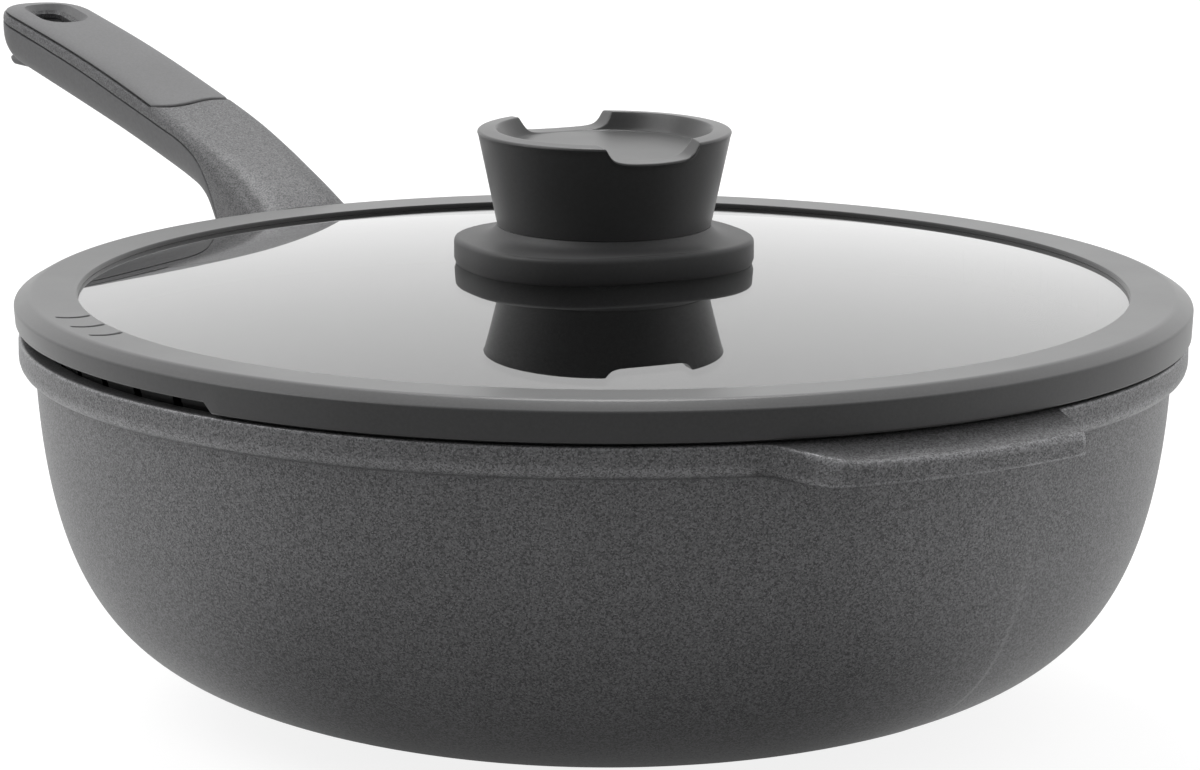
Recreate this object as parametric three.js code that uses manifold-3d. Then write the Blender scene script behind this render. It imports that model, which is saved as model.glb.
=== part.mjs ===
// Deep cast wok with a long handle, a helper tab and a domed glass lid, in millimetres, +Z up.
// The origin is the centre of the underside. The handle points along -X, the helper tab along +X.
import * as THREE from 'three';
import { mergeVertices } from 'three/addons/utils/BufferGeometryUtils.js';
import Module from 'manifold-3d';

const wasm = await Module();
wasm.setup();

// Clearance, overshoot of cutting bodies and facet counts
const GAP = 0.3;
const BEYOND = 20;
const LARGE_ROUND = 50;
const KNOB_ROUND = 36;
const SMALL_ROUND = 12;
const HANDLE_ROUND = 18;

// Pan: rim band, bowl wall and base
const BAND_RADIUS = 145;
const BAND_TOP = 93.1;
const BAND_FOOT = 84.6;
const BAND_ROUND = 3.6;
const WALL_TOP_RADIUS = 140.9;
const RIM_INNER_RADIUS = 140;
const BASE_RADIUS = 76.8;
const BASE_HEIGHT = 0.5;
const FLOOR_RADIUS = 74.5;
const FLOOR_HEIGHT = 5.5;
const WALL = 3.5;
const WALL_LOWER_PULL = [116.6, 10.7];
const WALL_UPPER_PULL = [137.2, 23.2];
const INSIDE_LOWER_PULL = [112.5, 12.5];
const INSIDE_UPPER_PULL = [133.6, 25.5];
const PLATE_RADIUS = 72;
const PLATE_THICKNESS = 1.2;
const PLATE_GROOVES = [30, 52];
const GROOVE_DEPTH = 0.5;

// Helper tab: a cast shelf that slopes down from the rim, ramped at one end and cut short at the other
const TAB_RADIUS = 155;
const TAB_TOP = 89;
const TAB_BOTTOM = 83.2;
const TAB_RAMP_START = -19;
const TAB_WIDE_START = -12.8;
const TAB_LOW_START = -9;
const TAB_SHORT_START = 13;
const TAB_SHORT_END = 14.8;

// Lid: domed glass in a soft ring
const GLASS_CROWN = 110.6;
const DOME_RADIUS = 1100;
const GLASS_RADIUS = 139.4;
const GLASS_THICKNESS = 4;
const GLASS_HOLE = 4.9;
const GLASS_STEPS = 3;
const RING_INNER = 130.2;
const RING_OUTER = 146.1;
const RING_TOP = 103.6;
const RING_BEVEL_RADIUS = 142.2;
const RING_SHOULDER = 101.3;
const SKIRT_BOTTOM = 94;
const PLUG_INNER = 133;
const PLUG_OUTER = 136.6;
const PLUG_BOTTOM = 86.6;
const LID_TURN = 261.5;

// Pouring notches in the soft ring, one on each side, with drain slots behind them
const NOTCH_INNER = 138.6;
const NOTCH_RISE = 2.5;
const NOTCH_HALF_ANGLE = 27;
const NOTCH_END_ANGLE = 1;
const SLOT_WIDTH = 3;
const SLOT_COUNT = 7;
const SLOT_PITCH_ANGLE = 6.5;

// Knob: flared cup with a spoon channel, on an oblong foot
const CUP_BOTTOM = 119.6;
const CUP_CREST = 143.7;
const CUP_EDGE_TOP = 143.2;
const CUP_FLOOR = 139.2;
const CUP_BOTTOM_RADIUS = 26.5;
const CUP_TOP_RADIUS = 31.5;
const CUP_CREST_RADIUS = 26.8;
const CUP_FLOOR_RADIUS = 24.4;
const CUP_FLOOR_THICKNESS = 4.5;
const CHANNEL_WIDTH = 24.5;
const CHANNEL_ANGLE = 90;
const FOOT_HALF_LENGTH = 36.6;
const FOOT_HALF_WIDTH = 32.2;
const FOOT_EDGE_TOP = 116.6;
const FOOT_SQUARENESS = 2.4;
const BOSS_RADIUS = 7.6;
const INSERT_RADIUS = 4.2;
const INSERT_TOP = 130.8;
const INSERT_BOTTOM = 114.7;
const SCREW_RADIUS = 2.5;
const SCREW_HEAD_RADIUS = 4.6;
const SCREW_HEAD_HEIGHT = 3;
const SOFT_WASHER_RADIUS = 9;
const SOFT_WASHER_THICKNESS = 1.5;
const STEEL_WASHER_RADIUS = 8;
const STEEL_WASHER_THICKNESS = 1;

// Handle, measured along its reach from the pan axis
const HANDLE_END = 304.2;
const HANDLE_END_ROUND = 15.6;
const END_DOME_TOP = 0.5;
const END_DOME_BOTTOM = 0.34;
const NECK_START = 136;
const NECK_FACE = 147;
const NECK_GAP = 0.8;
const UPPER_SQUARENESS = 4.4;
const LOWER_SQUARENESS = 2.6;
const SHELL_WALL = 2.8;
const ROOF = 4.4;
const CAVITY_END = 264;
const PAD_FRONT = 205.5;
const PAD_SWAY = 1.2;
const PAD_CORNER = 4;
const PAD_THICKNESS = 1.2;
const HANG_CENTRE = 286.5;
const HANG_HALF_LENGTH = 7.75;
const HANG_HALF_WIDTH = 4.5;
const HANG_CORNER = 3.6;
const HANG_FLARE = 2.8;
const CORE_DROP = 9.2;
const CORE_THICKNESS = 2.2;
const CORE_WIDTH = 12;
const LUG_WIDTH = 18;
const LUG_END = 170;
const LUG_COVER = 11;
const LUG_FACE = 149.5;
const LUG_ROOT_TOP = 91;
const LUG_SCREWS = [154, 163];
const LUG_SCREW_RADIUS = 2;
const LUG_SCREW_LENGTH = 10;
const LUG_HEAD_RADIUS = 4;
const SHELL_SCREWS = [198, 246];
const SHELL_SCREW_RADIUS = 1.4;
const SHELL_SCREW_SINK = 1.4;
const SHELL_SCREW_TOP = 3.6;
const SHELL_HEAD_RADIUS = 3;
const HANDLE_HEAD_HEIGHT = 1.8;
const SHELL_BOSS_RADIUS = 3.6;
const LIP_WIDTH = 13;

// Side lines of the handle as [reach, height] stations, from the pan outwards
const topLine = smoothLine([[136, 95.8], [147, 102.7], [156, 107.3], [165, 111], [185, 117.4],
  [209, 123.9], [252, 133], [303.5, 141.4]]);
const waistLine = smoothLine([[136, 83], [150, 87.5], [163, 96], [175, 106], [190, 114.3], [209, 119.2],
  [252, 128.2], [303.5, 136.6]]);
const bottomLine = smoothLine([[136, 63], [148, 66], [157, 71.5], [164, 79], [170, 88], [175.5, 96.8],
  [181, 100.3], [190, 102.6], [226, 110.3], [255, 115.8], [303.5, 124.9]]);
const seamLine = smoothLine([[130, 68], [148, 74], [157, 80.5], [164, 89.5], [170, 99.6], [174.5, 105.8],
  [181, 111.4], [190, 115.1], [203, 117.9], [222, 121.9], [252, 128.3], [310, 138.6]]);
const halfWidthLine = smoothLine([[136, 18.2], [148, 16.6], [165, 14.9], [185, 13.7], [209, 13.2],
  [252, 13.2], [288, 13.4], [303.5, 13.4]]);

// Finishes
const coatedMetal = { color: 0x4b4c4e, roughness: 0.55, metalness: 0.35 };
const steel = { color: 0xb9bbbd, roughness: 0.3, metalness: 1 };
const brass = { color: 0xb08d45, roughness: 0.35, metalness: 1 };
const silicone = { color: 0x6b6c6d, roughness: 0.8, metalness: 0 };
const knobPlastic = { color: 0x2c2d2e, roughness: 0.7, metalness: 0 };
const gripPlastic = { color: 0x5b5c5d, roughness: 0.6, metalness: 0 };
const gripSoft = { color: 0x7b7c7d, roughness: 0.85, metalness: 0 };
const smokedGlass = { color: 0x2a2d2e, roughness: 0.05, metalness: 0 };

const toRadians = THREE.MathUtils.degToRad;

// Height over distance as a smooth curve through its stations
function smoothLine(stations) {
  const last = stations.length - 1;
  const slope = (i) => {
    const [x0, z0] = stations[Math.max(i - 1, 0)];
    const [x1, z1] = stations[Math.min(i + 1, last)];
    return (z1 - z0) / (x1 - x0);
  };
  return (x) => {
    const found = stations.findIndex(([station]) => station > x);
    const i = THREE.MathUtils.clamp(found < 0 ? last : found, 1, last);
    const [x0, z0] = stations[i - 1];
    const [x1, z1] = stations[i];
    const span = x1 - x0;
    const t = (x - x0) / span;
    const bend = t * t * (3 - 2 * t);
    const leave = t * (1 - t) * (1 - t) * span * slope(i - 1);
    const arrive = t * t * (t - 1) * span * slope(i);
    return z0 + (z1 - z0) * bend + leave + arrive;
  };
}

// Closed solid from a geometry, its result back as a geometry
function solid(geometry) {
  const bare = geometry.clone();
  bare.deleteAttribute('normal');
  bare.deleteAttribute('uv');
  const merged = mergeVertices(bare);
  return new wasm.Manifold(new wasm.Mesh({
    numProp: 3,
    vertProperties: new Float32Array(merged.attributes.position.array),
    triVerts: new Uint32Array(merged.index.array),
  }));
}

function geometryOf(body) {
  const { vertProperties, triVerts } = body.getMesh();
  const geometry = new THREE.BufferGeometry();
  geometry.setAttribute('position', new THREE.BufferAttribute(vertProperties, 3));
  geometry.setIndex(new THREE.BufferAttribute(triVerts, 1));
  geometry.computeVertexNormals();
  return geometry;
}

function piece(name, body, finish) {
  const mesh = new THREE.Mesh(geometryOf(body), new THREE.MeshStandardMaterial(finish));
  mesh.name = name;
  return mesh;
}

// Slope of the handle's top line, and a body drawn below z = 0 set square under that line
const lean = (reach) => Math.atan((topLine(reach + 1) - topLine(reach - 1)) / 2);
const square = (reach, drop) => drop * Math.cos(lean(reach));

function underTop(body, reach) {
  return body.rotate([0, -THREE.MathUtils.radToDeg(lean(reach)), 0]).translate([reach, 0, topLine(reach)]);
}

// Polygon outline from [x, y] or [x, y, radius] corners, rounded where a radius is given
function outline(corners, steps = 3) {
  const at = (i) => new THREE.Vector2(...corners.at(i % corners.length).slice(0, 2));
  return corners.flatMap(([, , radius = 0], i) => {
    if (radius === 0) return [at(i)];
    const toBefore = at(i - 1).sub(at(i)).normalize();
    const toAfter = at(i + 1).sub(at(i)).normalize();
    const reach = radius / Math.tan(Math.acos(toBefore.dot(toAfter)) / 2);
    const start = at(i).addScaledVector(toBefore, reach);
    const end = at(i).addScaledVector(toAfter, reach);
    return new THREE.QuadraticBezierCurve(start, at(i), end).getPoints(steps);
  });
}

// Revolved solid about +Z from a counterclockwise [radius, height] outline
function revolve(points, facets) {
  const closed = [...points, points[0]];
  return solid(new THREE.LatheGeometry(closed, facets).rotateX(Math.PI / 2));
}

function rod(radius, bottom, top, facets = SMALL_ROUND) {
  return revolve(outline([[0, bottom], [radius, bottom], [radius, top], [0, top]]), facets);
}

// Upright prism of a plan outline
function prism(points, bottom, top) {
  const shape = new THREE.Shape(points);
  const geometry = new THREE.ExtrudeGeometry(shape, { depth: top - bottom, bevelEnabled: false });
  return solid(geometry.translate(0, 0, bottom));
}

// Prism of a side outline in reach and height, centred across the handle
function slab(points, width) {
  const shape = new THREE.Shape(points);
  const geometry = new THREE.ExtrudeGeometry(shape, { depth: width, bevelEnabled: false });
  return solid(geometry.rotateX(Math.PI / 2).translate(0, width / 2, 0));
}

// Skin over a row of rings, closed by end caps or by joining the last ring to the first
function loft(rings, looped = false) {
  const count = rings[0].length;
  const positions = rings.flat().flatMap((point) => point.toArray());
  const index = [];
  const joins = looped ? rings.length : rings.length - 1;
  for (let i = 0; i < joins; i += 1) {
    const here = i * count;
    const next = ((i + 1) % rings.length) * count;
    for (let k = 0; k < count; k += 1) {
      const turn = (k + 1) % count;
      index.push(here + k, here + turn, next + k, here + turn, next + turn, next + k);
    }
  }
  if (!looped) {
    const last = (rings.length - 1) * count;
    for (let k = 1; k < count - 1; k += 1) {
      index.push(0, k + 1, k, last, last + k, last + k + 1);
    }
  }
  const geometry = new THREE.BufferGeometry();
  geometry.setAttribute('position', new THREE.Float32BufferAttribute(positions, 3));
  geometry.setIndex(index);
  return solid(geometry);
}

const vector2 = (x, y) => new THREE.Vector2(x, y);

// Bowl wall from the base edge up to the band, pushed out by a clearance
function bowlWall(clearance, steps) {
  return new THREE.CubicBezierCurve(
    vector2(BASE_RADIUS + clearance, BASE_HEIGHT),
    vector2(...WALL_LOWER_PULL).add(vector2(clearance, 0)),
    vector2(...WALL_UPPER_PULL).add(vector2(clearance, 0)),
    vector2(WALL_TOP_RADIUS + clearance, BAND_FOOT),
  ).getPoints(steps);
}

function bowlInside(steps) {
  return new THREE.CubicBezierCurve(
    vector2(WALL_TOP_RADIUS - WALL, BAND_FOOT),
    vector2(...INSIDE_UPPER_PULL),
    vector2(...INSIDE_LOWER_PULL),
    vector2(FLOOR_RADIUS, FLOOR_HEIGHT),
  ).getPoints(steps);
}

// A size of the tab at an angle, eased from the band's own size along the ramp and back at the short end
function tabSize(angle, wholeFrom, ofBand, whole) {
  const out = THREE.MathUtils.smoothstep(angle, TAB_RAMP_START, wholeFrom);
  const back = THREE.MathUtils.smoothstep(angle, TAB_SHORT_START, TAB_SHORT_END);
  return THREE.MathUtils.lerp(ofBand, whole, out - back);
}

// Skin over sections of [radius, height] corners, each at its angle about the pan axis
function sweep(angles, sectionAt) {
  const axis = new THREE.Vector3(0, 0, 1);
  return loft(angles.map((angle) => sectionAt(angle).reverse().map(([radius, height]) => (
    new THREE.Vector3(radius, 0, height).applyAxisAngle(axis, toRadians(angle))))));
}

// Helper tab, its top sloping down from the rim to an edge that runs out from the band
function helperTab() {
  const steps = (from, to, count) => (
    Array.from({ length: count }, (_, i) => THREE.MathUtils.lerp(from, to, i / count)));
  const angles = [...steps(TAB_RAMP_START, TAB_LOW_START, 9), ...steps(TAB_LOW_START, TAB_SHORT_START, 8),
    ...steps(TAB_SHORT_START, TAB_SHORT_END, 6), TAB_SHORT_END];
  const inside = WALL_TOP_RADIUS - WALL / 2;
  const rimTop = BAND_TOP - 0.05;
  return sweep(angles, (angle) => {
    const edge = tabSize(angle, TAB_WIDE_START, BAND_RADIUS - 0.4, TAB_RADIUS);
    const top = tabSize(angle, TAB_LOW_START, rimTop, TAB_TOP);
    const bottom = tabSize(angle, TAB_WIDE_START, BAND_FOOT + 0.6, TAB_BOTTOM);
    const cut = tabSize(angle, TAB_WIDE_START, BAND_ROUND, 1);
    return [[inside, bottom], [edge - cut, bottom], [edge, bottom + cut], [edge, top - 0.8],
      [edge - 0.8, top], [BAND_RADIUS - 1.6, rimTop], [BAND_RADIUS - 2.5, rimTop]];
  });
}

// Cast lug that carries the handle, in the handle's own direction
function lug() {
  const top = (reach) => topLine(reach) - CORE_DROP - GAP;
  const under = [];
  for (let reach = NECK_START; reach < LUG_END; reach += 5) {
    under.push([reach, bottomLine(reach) + LUG_COVER]);
  }
  const side = outline([...under, [LUG_END, bottomLine(LUG_END) + LUG_COVER, 1], [LUG_END, top(LUG_END), 2],
    [LUG_FACE, top(LUG_FACE), 2], [NECK_FACE, LUG_ROOT_TOP, 2], [NECK_START, LUG_ROOT_TOP]], 2);
  return slab(side, LUG_WIDTH);
}

function panBody() {
  const profile = [
    vector2(0, PLATE_THICKNESS + GAP),
    vector2(PLATE_RADIUS + GAP, PLATE_THICKNESS + GAP),
    vector2(PLATE_RADIUS + GAP, BASE_HEIGHT),
    ...bowlWall(0, 9),
    ...outline([[WALL_TOP_RADIUS, BAND_FOOT], [BAND_RADIUS, BAND_FOOT + 0.6, BAND_ROUND],
      [BAND_RADIUS, BAND_TOP, 0.9], [RIM_INNER_RADIUS, BAND_TOP, 0.8],
      [WALL_TOP_RADIUS - WALL, BAND_FOOT]], 2).slice(1, -1),
    ...bowlInside(7),
    vector2(0, FLOOR_HEIGHT),
  ];
  let body = revolve(profile, LARGE_ROUND);
  body = body.add(helperTab());
  body = body.add(lug().rotate([0, 0, 180]).subtract(bowlHollow()));
  for (const reach of LUG_SCREWS) {
    const top = -square(reach, CORE_DROP);
    const hole = underTop(rod(LUG_SCREW_RADIUS + GAP, top - LUG_SCREW_LENGTH, top + 2), reach);
    body = body.subtract(hole.rotate([0, 0, 180]));
  }
  return body;
}

// The space inside the bowl, to trim what is joined to its outside
function bowlHollow() {
  const wall = bowlInside(7).reverse();
  return revolve([vector2(0, FLOOR_HEIGHT), ...wall, vector2(RIM_INNER_RADIUS, BAND_TOP + BEYOND),
    vector2(0, BAND_TOP + BEYOND)], LARGE_ROUND);
}

// Steel disc let into the base, with two shallow ring grooves
function basePlate() {
  const groove = (radius) => [[radius - 1, 0], [radius, GROOVE_DEPTH], [radius + 1, 0]];
  return revolve(outline([[0, 0], ...PLATE_GROOVES.flatMap(groove), [PLATE_RADIUS - 0.4, 0],
    [PLATE_RADIUS, 0.4], [PLATE_RADIUS, PLATE_THICKNESS], [0, PLATE_THICKNESS]]), KNOB_ROUND);
}

const glassTop = (radius) => GLASS_CROWN - radius ** 2 / (2 * DOME_RADIUS);

function lidGlass() {
  const top = [];
  for (let step = 0; step <= GLASS_STEPS; step += 1) {
    const radius = THREE.MathUtils.lerp(GLASS_RADIUS - 0.8, GLASS_HOLE, step / GLASS_STEPS);
    top.push([radius, glassTop(radius)]);
  }
  const bottom = top.toReversed().map(([radius, height]) => [radius, height - GLASS_THICKNESS]);
  const edge = [[GLASS_RADIUS, glassTop(GLASS_RADIUS) - GLASS_THICKNESS + 0.8],
    [GLASS_RADIUS, glassTop(GLASS_RADIUS) - 0.8]];
  return revolve(outline([...bottom, ...edge, ...top]), LARGE_ROUND);
}

// Soft ring: top lip over the glass, bevelled skirt over the pan rim, plug inside the pan
function lidRing() {
  const seat = BAND_TOP + GAP;
  const groove = GLASS_RADIUS + GAP;
  const over = (radius) => glassTop(radius) + GAP;
  const under = (radius) => glassTop(radius) - GLASS_THICKNESS - GAP;
  const profile = outline([[RING_INNER, over(RING_INNER)], [groove, over(groove)], [groove, under(groove)],
    [PLUG_INNER, under(PLUG_INNER)], [PLUG_INNER, PLUG_BOTTOM, 1], [PLUG_OUTER, PLUG_BOTTOM, 1],
    [PLUG_OUTER + 1.8, seat], [BAND_RADIUS - 1.4, seat], [BAND_RADIUS - 0.8, SKIRT_BOTTOM],
    [RING_OUTER - 0.4, SKIRT_BOTTOM, 0.7], [RING_OUTER, RING_SHOULDER, 0.5],
    [RING_BEVEL_RADIUS, RING_TOP, 0.8], [RING_INNER + 0.3, RING_TOP, 0.3]], 1);
  let ring = revolve(profile, LARGE_ROUND);
  for (const side of [0, 180]) {
    ring = ring.subtract(pourNotch().rotate([0, 0, side]));
    for (let slot = 0; slot < SLOT_COUNT; slot += 1) {
      const angle = side + (slot - (SLOT_COUNT - 1) / 2) * SLOT_PITCH_ANGLE;
      ring = ring.subtract(drainSlot().rotate([0, 0, angle]));
    }
  }
  return ring;
}

// Raised stretch of the skirt, with sloped ends
function pourNotch() {
  const flat = NOTCH_HALF_ANGLE - NOTCH_END_ANGLE;
  const stops = [-1, -0.5, 0, 0.5, 1].map((share) => share * flat);
  return sweep([-NOTCH_HALF_ANGLE, ...stops, NOTCH_HALF_ANGLE], (angle) => {
    const roof = Math.abs(angle) < NOTCH_HALF_ANGLE ? SKIRT_BOTTOM + NOTCH_RISE : BAND_TOP;
    const outside = RING_OUTER + BEYOND;
    return [[NOTCH_INNER, PLUG_BOTTOM], [outside, PLUG_BOTTOM], [outside, roof], [NOTCH_INNER, roof]];
  });
}

function drainSlot() {
  const half = SLOT_WIDTH / 2;
  const start = PLUG_INNER - 3;
  const end = NOTCH_INNER + 0.4;
  const plan = outline([[start, -half], [end, -half], [end, half], [start, half]]);
  return prism(plan, PLUG_BOTTOM - 1, SKIRT_BOTTOM + 1);
}

// Flared cup with a recessed floor, a hollow underside and a centre boss that stands on the glass
function knobCup() {
  const bore = INSERT_RADIUS + GAP;
  const ceiling = CUP_FLOOR - CUP_FLOOR_THICKNESS;
  const profile = outline([[bore, GLASS_CROWN + GAP], [BOSS_RADIUS, GLASS_CROWN + GAP],
    [BOSS_RADIUS, CUP_BOTTOM], [BOSS_RADIUS + 1.8, CUP_BOTTOM], [BOSS_RADIUS + 1.4, ceiling],
    [CUP_BOTTOM_RADIUS - 4.7, ceiling], [CUP_BOTTOM_RADIUS - 3.9, CUP_BOTTOM],
    [CUP_BOTTOM_RADIUS, CUP_BOTTOM], [CUP_TOP_RADIUS, CUP_EDGE_TOP, 0.6], [CUP_CREST_RADIUS, CUP_CREST, 0.5],
    [CUP_FLOOR_RADIUS, CUP_FLOOR], [0, CUP_FLOOR], [0, INSERT_TOP + 1], [bore, INSERT_TOP + 1]], 2);
  return revolve(profile, KNOB_ROUND).subtract(spoonChannel().rotate([0, 0, CHANNEL_ANGLE]));
}

// Trough across the cup rim, along X, with round lower corners
function spoonChannel() {
  const half = CHANNEL_WIDTH / 2;
  const bottom = CUP_FLOOR + 0.1;
  const above = CUP_CREST + 3;
  const section = outline([[-half - 2, above], [1 - half, bottom, 9], [half - 1, bottom, 9],
    [half + 2, above]], 5);
  const length = CUP_TOP_RADIUS * 2 + 4;
  return slab(section, length).rotate([0, 0, 90]);
}

// Oblong foot plate whose top flows up to the round cup
function knobFoot() {
  const count = 32;
  const oblong = (angle, inset) => {
    const across = Math.abs(Math.cos(angle) / (FOOT_HALF_LENGTH - inset)) ** FOOT_SQUARENESS;
    const along = Math.abs(Math.sin(angle) / (FOOT_HALF_WIDTH - inset)) ** FOOT_SQUARENESS;
    return (across + along) ** (-1 / FOOT_SQUARENESS);
  };
  const ring = (radiusAt, heightAt) => Array.from({ length: count }, (_, k) => {
    const angle = (2 * Math.PI * k) / count;
    const radius = radiusAt(angle);
    return new THREE.Vector3(radius * Math.cos(angle), radius * Math.sin(angle), heightAt(radius));
  });
  const round = (radius, height) => ring(() => radius, () => height);
  const edge = (inset, height) => ring((angle) => oblong(angle, inset), () => height);
  const onGlass = (radius) => glassTop(radius) + GAP;
  const hole = BOSS_RADIUS + GAP;
  const middle = CUP_BOTTOM_RADIUS - 6;
  return loft([
    round(hole, onGlass(hole)), round(middle, onGlass(middle)), ring((angle) => oblong(angle, 0.5), onGlass),
    edge(0, FOOT_EDGE_TOP - 5.2), edge(0, FOOT_EDGE_TOP - 1.2), edge(0.4, FOOT_EDGE_TOP - 0.4),
    edge(1.3, FOOT_EDGE_TOP), round(CUP_BOTTOM_RADIUS + 3.2, FOOT_EDGE_TOP + 0.4),
    round(CUP_BOTTOM_RADIUS + 1.6, FOOT_EDGE_TOP + 1), round(CUP_BOTTOM_RADIUS + 0.5, FOOT_EDGE_TOP + 1.9),
    round(CUP_BOTTOM_RADIUS, CUP_BOTTOM - GAP), round(hole, CUP_BOTTOM - GAP),
  ], true);
}

// Fixing through the glass: threaded insert, sleeve, soft washer, steel washer and screw
function ringBody(outer, bottom, top) {
  const inner = SCREW_RADIUS + GAP;
  return revolve(outline([[inner, bottom], [outer, bottom], [outer, top], [inner, top]]), SMALL_ROUND + 6);
}

const glassUnder = GLASS_CROWN - GLASS_THICKNESS;
const softWasherTop = glassUnder - GAP;
const steelWasherTop = softWasherTop - SOFT_WASHER_THICKNESS - GAP;
const screwHeadTop = steelWasherTop - STEEL_WASHER_THICKNESS - GAP;

// Pan-head screw pointing up, its head topped by a slight dome below
function screw(shaft, head, headBottom, headTop, tip) {
  return revolve(outline([[0, headBottom], [head * 0.7, headBottom], [head, headTop - 1], [head, headTop],
    [shaft, headTop], [shaft, tip - 1], [shaft * 0.6, tip], [0, tip]]), SMALL_ROUND);
}

function knobScrew() {
  const headBottom = screwHeadTop - SCREW_HEAD_HEIGHT;
  return screw(SCREW_RADIUS, SCREW_HEAD_RADIUS, headBottom, screwHeadTop, INSERT_TOP - 1);
}

// Handle sections are upright rings: square-shouldered above the waist, rounder below it
function handleRing(reach, inset = { side: 0, top: 0, bottom: 0 }, count = HANDLE_ROUND) {
  const past = Math.max(0, (reach - (HANDLE_END - HANDLE_END_ROUND)) / HANDLE_END_ROUND);
  const halfWidth = halfWidthLine(reach) * Math.sqrt(1 - Math.min(past, 0.995) ** 2) - inset.side;
  const waist = waistLine(reach);
  const above = (topLine(reach) - inset.top - waist) * (1 - END_DOME_TOP * past ** 2);
  const below = (waist - bottomLine(reach) - inset.bottom) * (1 - END_DOME_BOTTOM * past ** 3);
  return Array.from({ length: count }, (_, k) => {
    const angle = (2 * Math.PI * k) / count;
    const power = 2 / (Math.sin(angle) >= 0 ? UPPER_SQUARENESS : LOWER_SQUARENESS);
    const across = Math.sign(Math.cos(angle)) * Math.abs(Math.cos(angle)) ** power;
    const up = Math.abs(Math.sin(angle)) ** power * (Math.sin(angle) >= 0 ? above : -below);
    return new THREE.Vector3(reach, across * halfWidth, waist + up);
  });
}

function handleForm() {
  const stations = [NECK_START, 143, 149, 154, 159, 163, 167, 171, 175, 179, 184, 190, 198, 209, 222, 237,
    252, 266, 278, HANDLE_END - HANDLE_END_ROUND];
  for (const share of [0.3, 0.55, 0.75, 0.9, 0.98, 1]) {
    stations.push(HANDLE_END - HANDLE_END_ROUND * (1 - share));
  }
  return loft(stations.map((reach) => handleRing(reach)));
}

// Hollow of the handle under a roof of the given thickness
function handleCavity(roof) {
  const inset = { side: SHELL_WALL, top: roof, bottom: SHELL_WALL };
  const stations = [NECK_START, 149, 158, 164, 170, 176, 182, 192, 212, CAVITY_END];
  return loft(stations.map((reach) => handleRing(reach, inset, 16)));
}

// Everything under the seam line between the shells, lowered or raised by a shift
function belowSeam(shift) {
  const seam = [];
  const start = NECK_START - 4;
  const end = HANDLE_END + BEYOND;
  for (let reach = start; reach < end; reach += reach < PAD_FRONT - 12 ? 4 : 12) {
    seam.push(vector2(reach, seamLine(reach) + shift));
  }
  const below = bottomLine(NECK_START) - BEYOND;
  return slab([vector2(start, below), vector2(seam.at(-1).x, below), ...seam.reverse()], 3 * BEYOND);
}

// Envelope of the pan and lid that the neck must stay out of
function panEnvelope() {
  const above = RING_TOP + BEYOND;
  return revolve([vector2(0, 0), ...bowlWall(NECK_GAP, 9).slice(0, -1),
    vector2(WALL_TOP_RADIUS + NECK_GAP, BAND_FOOT - 1.5), vector2(NECK_FACE, BAND_FOOT - 1),
    vector2(NECK_FACE, above), vector2(0, above)], LARGE_ROUND);
}

// Region of the grip pad: above the pad line, with a swaying front edge and round front corners
function padRegion(slack) {
  const start = PAD_FRONT - 12;
  const end = HANDLE_END + BEYOND;
  const floor = [];
  for (let reach = start; reach <= end; reach += 10) {
    floor.push(vector2(reach, topLine(reach) - PAD_THICKNESS - slack));
  }
  const height = topLine(end) + BEYOND;
  const above = slab([...floor, vector2(end, height), vector2(start, height)], 3 * BEYOND);
  const front = [];
  for (let side = -BEYOND; side <= BEYOND; side += 2.5) {
    const share = side / halfWidthLine(PAD_FRONT);
    const corner = PAD_CORNER * Math.min(1, Math.abs(share)) ** 8;
    front.push(vector2(PAD_FRONT - slack - PAD_SWAY * Math.sin(Math.PI * share) + corner, side));
  }
  const plan = [...front, vector2(end, BEYOND), vector2(end, -BEYOND)].reverse();
  return above.intersect(prism(plan, topLine(start) - BEYOND, height));
}

// Through slot for hanging, square to the grip, flaring at its upper end
function hangSlot() {
  const rim = (grow) => {
    const long = HANG_HALF_LENGTH + grow;
    const wide = HANG_HALF_WIDTH + grow;
    const corner = HANG_CORNER + grow;
    return outline([[-long, -wide, corner], [long, -wide, corner], [long, wide, corner],
      [-long, wide, corner]], 4);
  };
  const slot = prism(rim(0), -2 * BEYOND, BEYOND);
  const flare = [0, HANG_FLARE, HANG_FLARE + 1].map((grow) => (
    rim(grow).map(({ x, y }) => new THREE.Vector3(x, y, grow - HANG_FLARE))));
  return underTop(slot.add(loft(flare)), HANG_CENTRE);
}

// Boss under the roof of the upper shell and the hole for its screw
function shellBoss(reach) {
  const bottom = GAP - square(reach, CORE_DROP - CORE_THICKNESS);
  return underTop(rod(SHELL_BOSS_RADIUS, bottom, 1 - square(reach, ROOF)), reach);
}

function shellScrewHole(reach) {
  return underTop(rod(SHELL_SCREW_RADIUS + GAP, -CORE_DROP, GAP - SHELL_SCREW_TOP), reach);
}

// Depth of the handle's underside below its top line, measured square to that line
const handleDepth = (reach) => square(reach, topLine(reach) - bottomLine(reach));

const form = handleForm();
const hang = hangSlot();
const envelope = panEnvelope();

function upperShell() {
  let shell = form.subtract(handleCavity(ROOF));
  for (const reach of SHELL_SCREWS) shell = shell.add(shellBoss(reach));
  for (const reach of SHELL_SCREWS) shell = shell.subtract(shellScrewHole(reach));
  return shell.subtract(belowSeam(GAP / 2)).subtract(padRegion(GAP)).subtract(hang).subtract(envelope);
}

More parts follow.
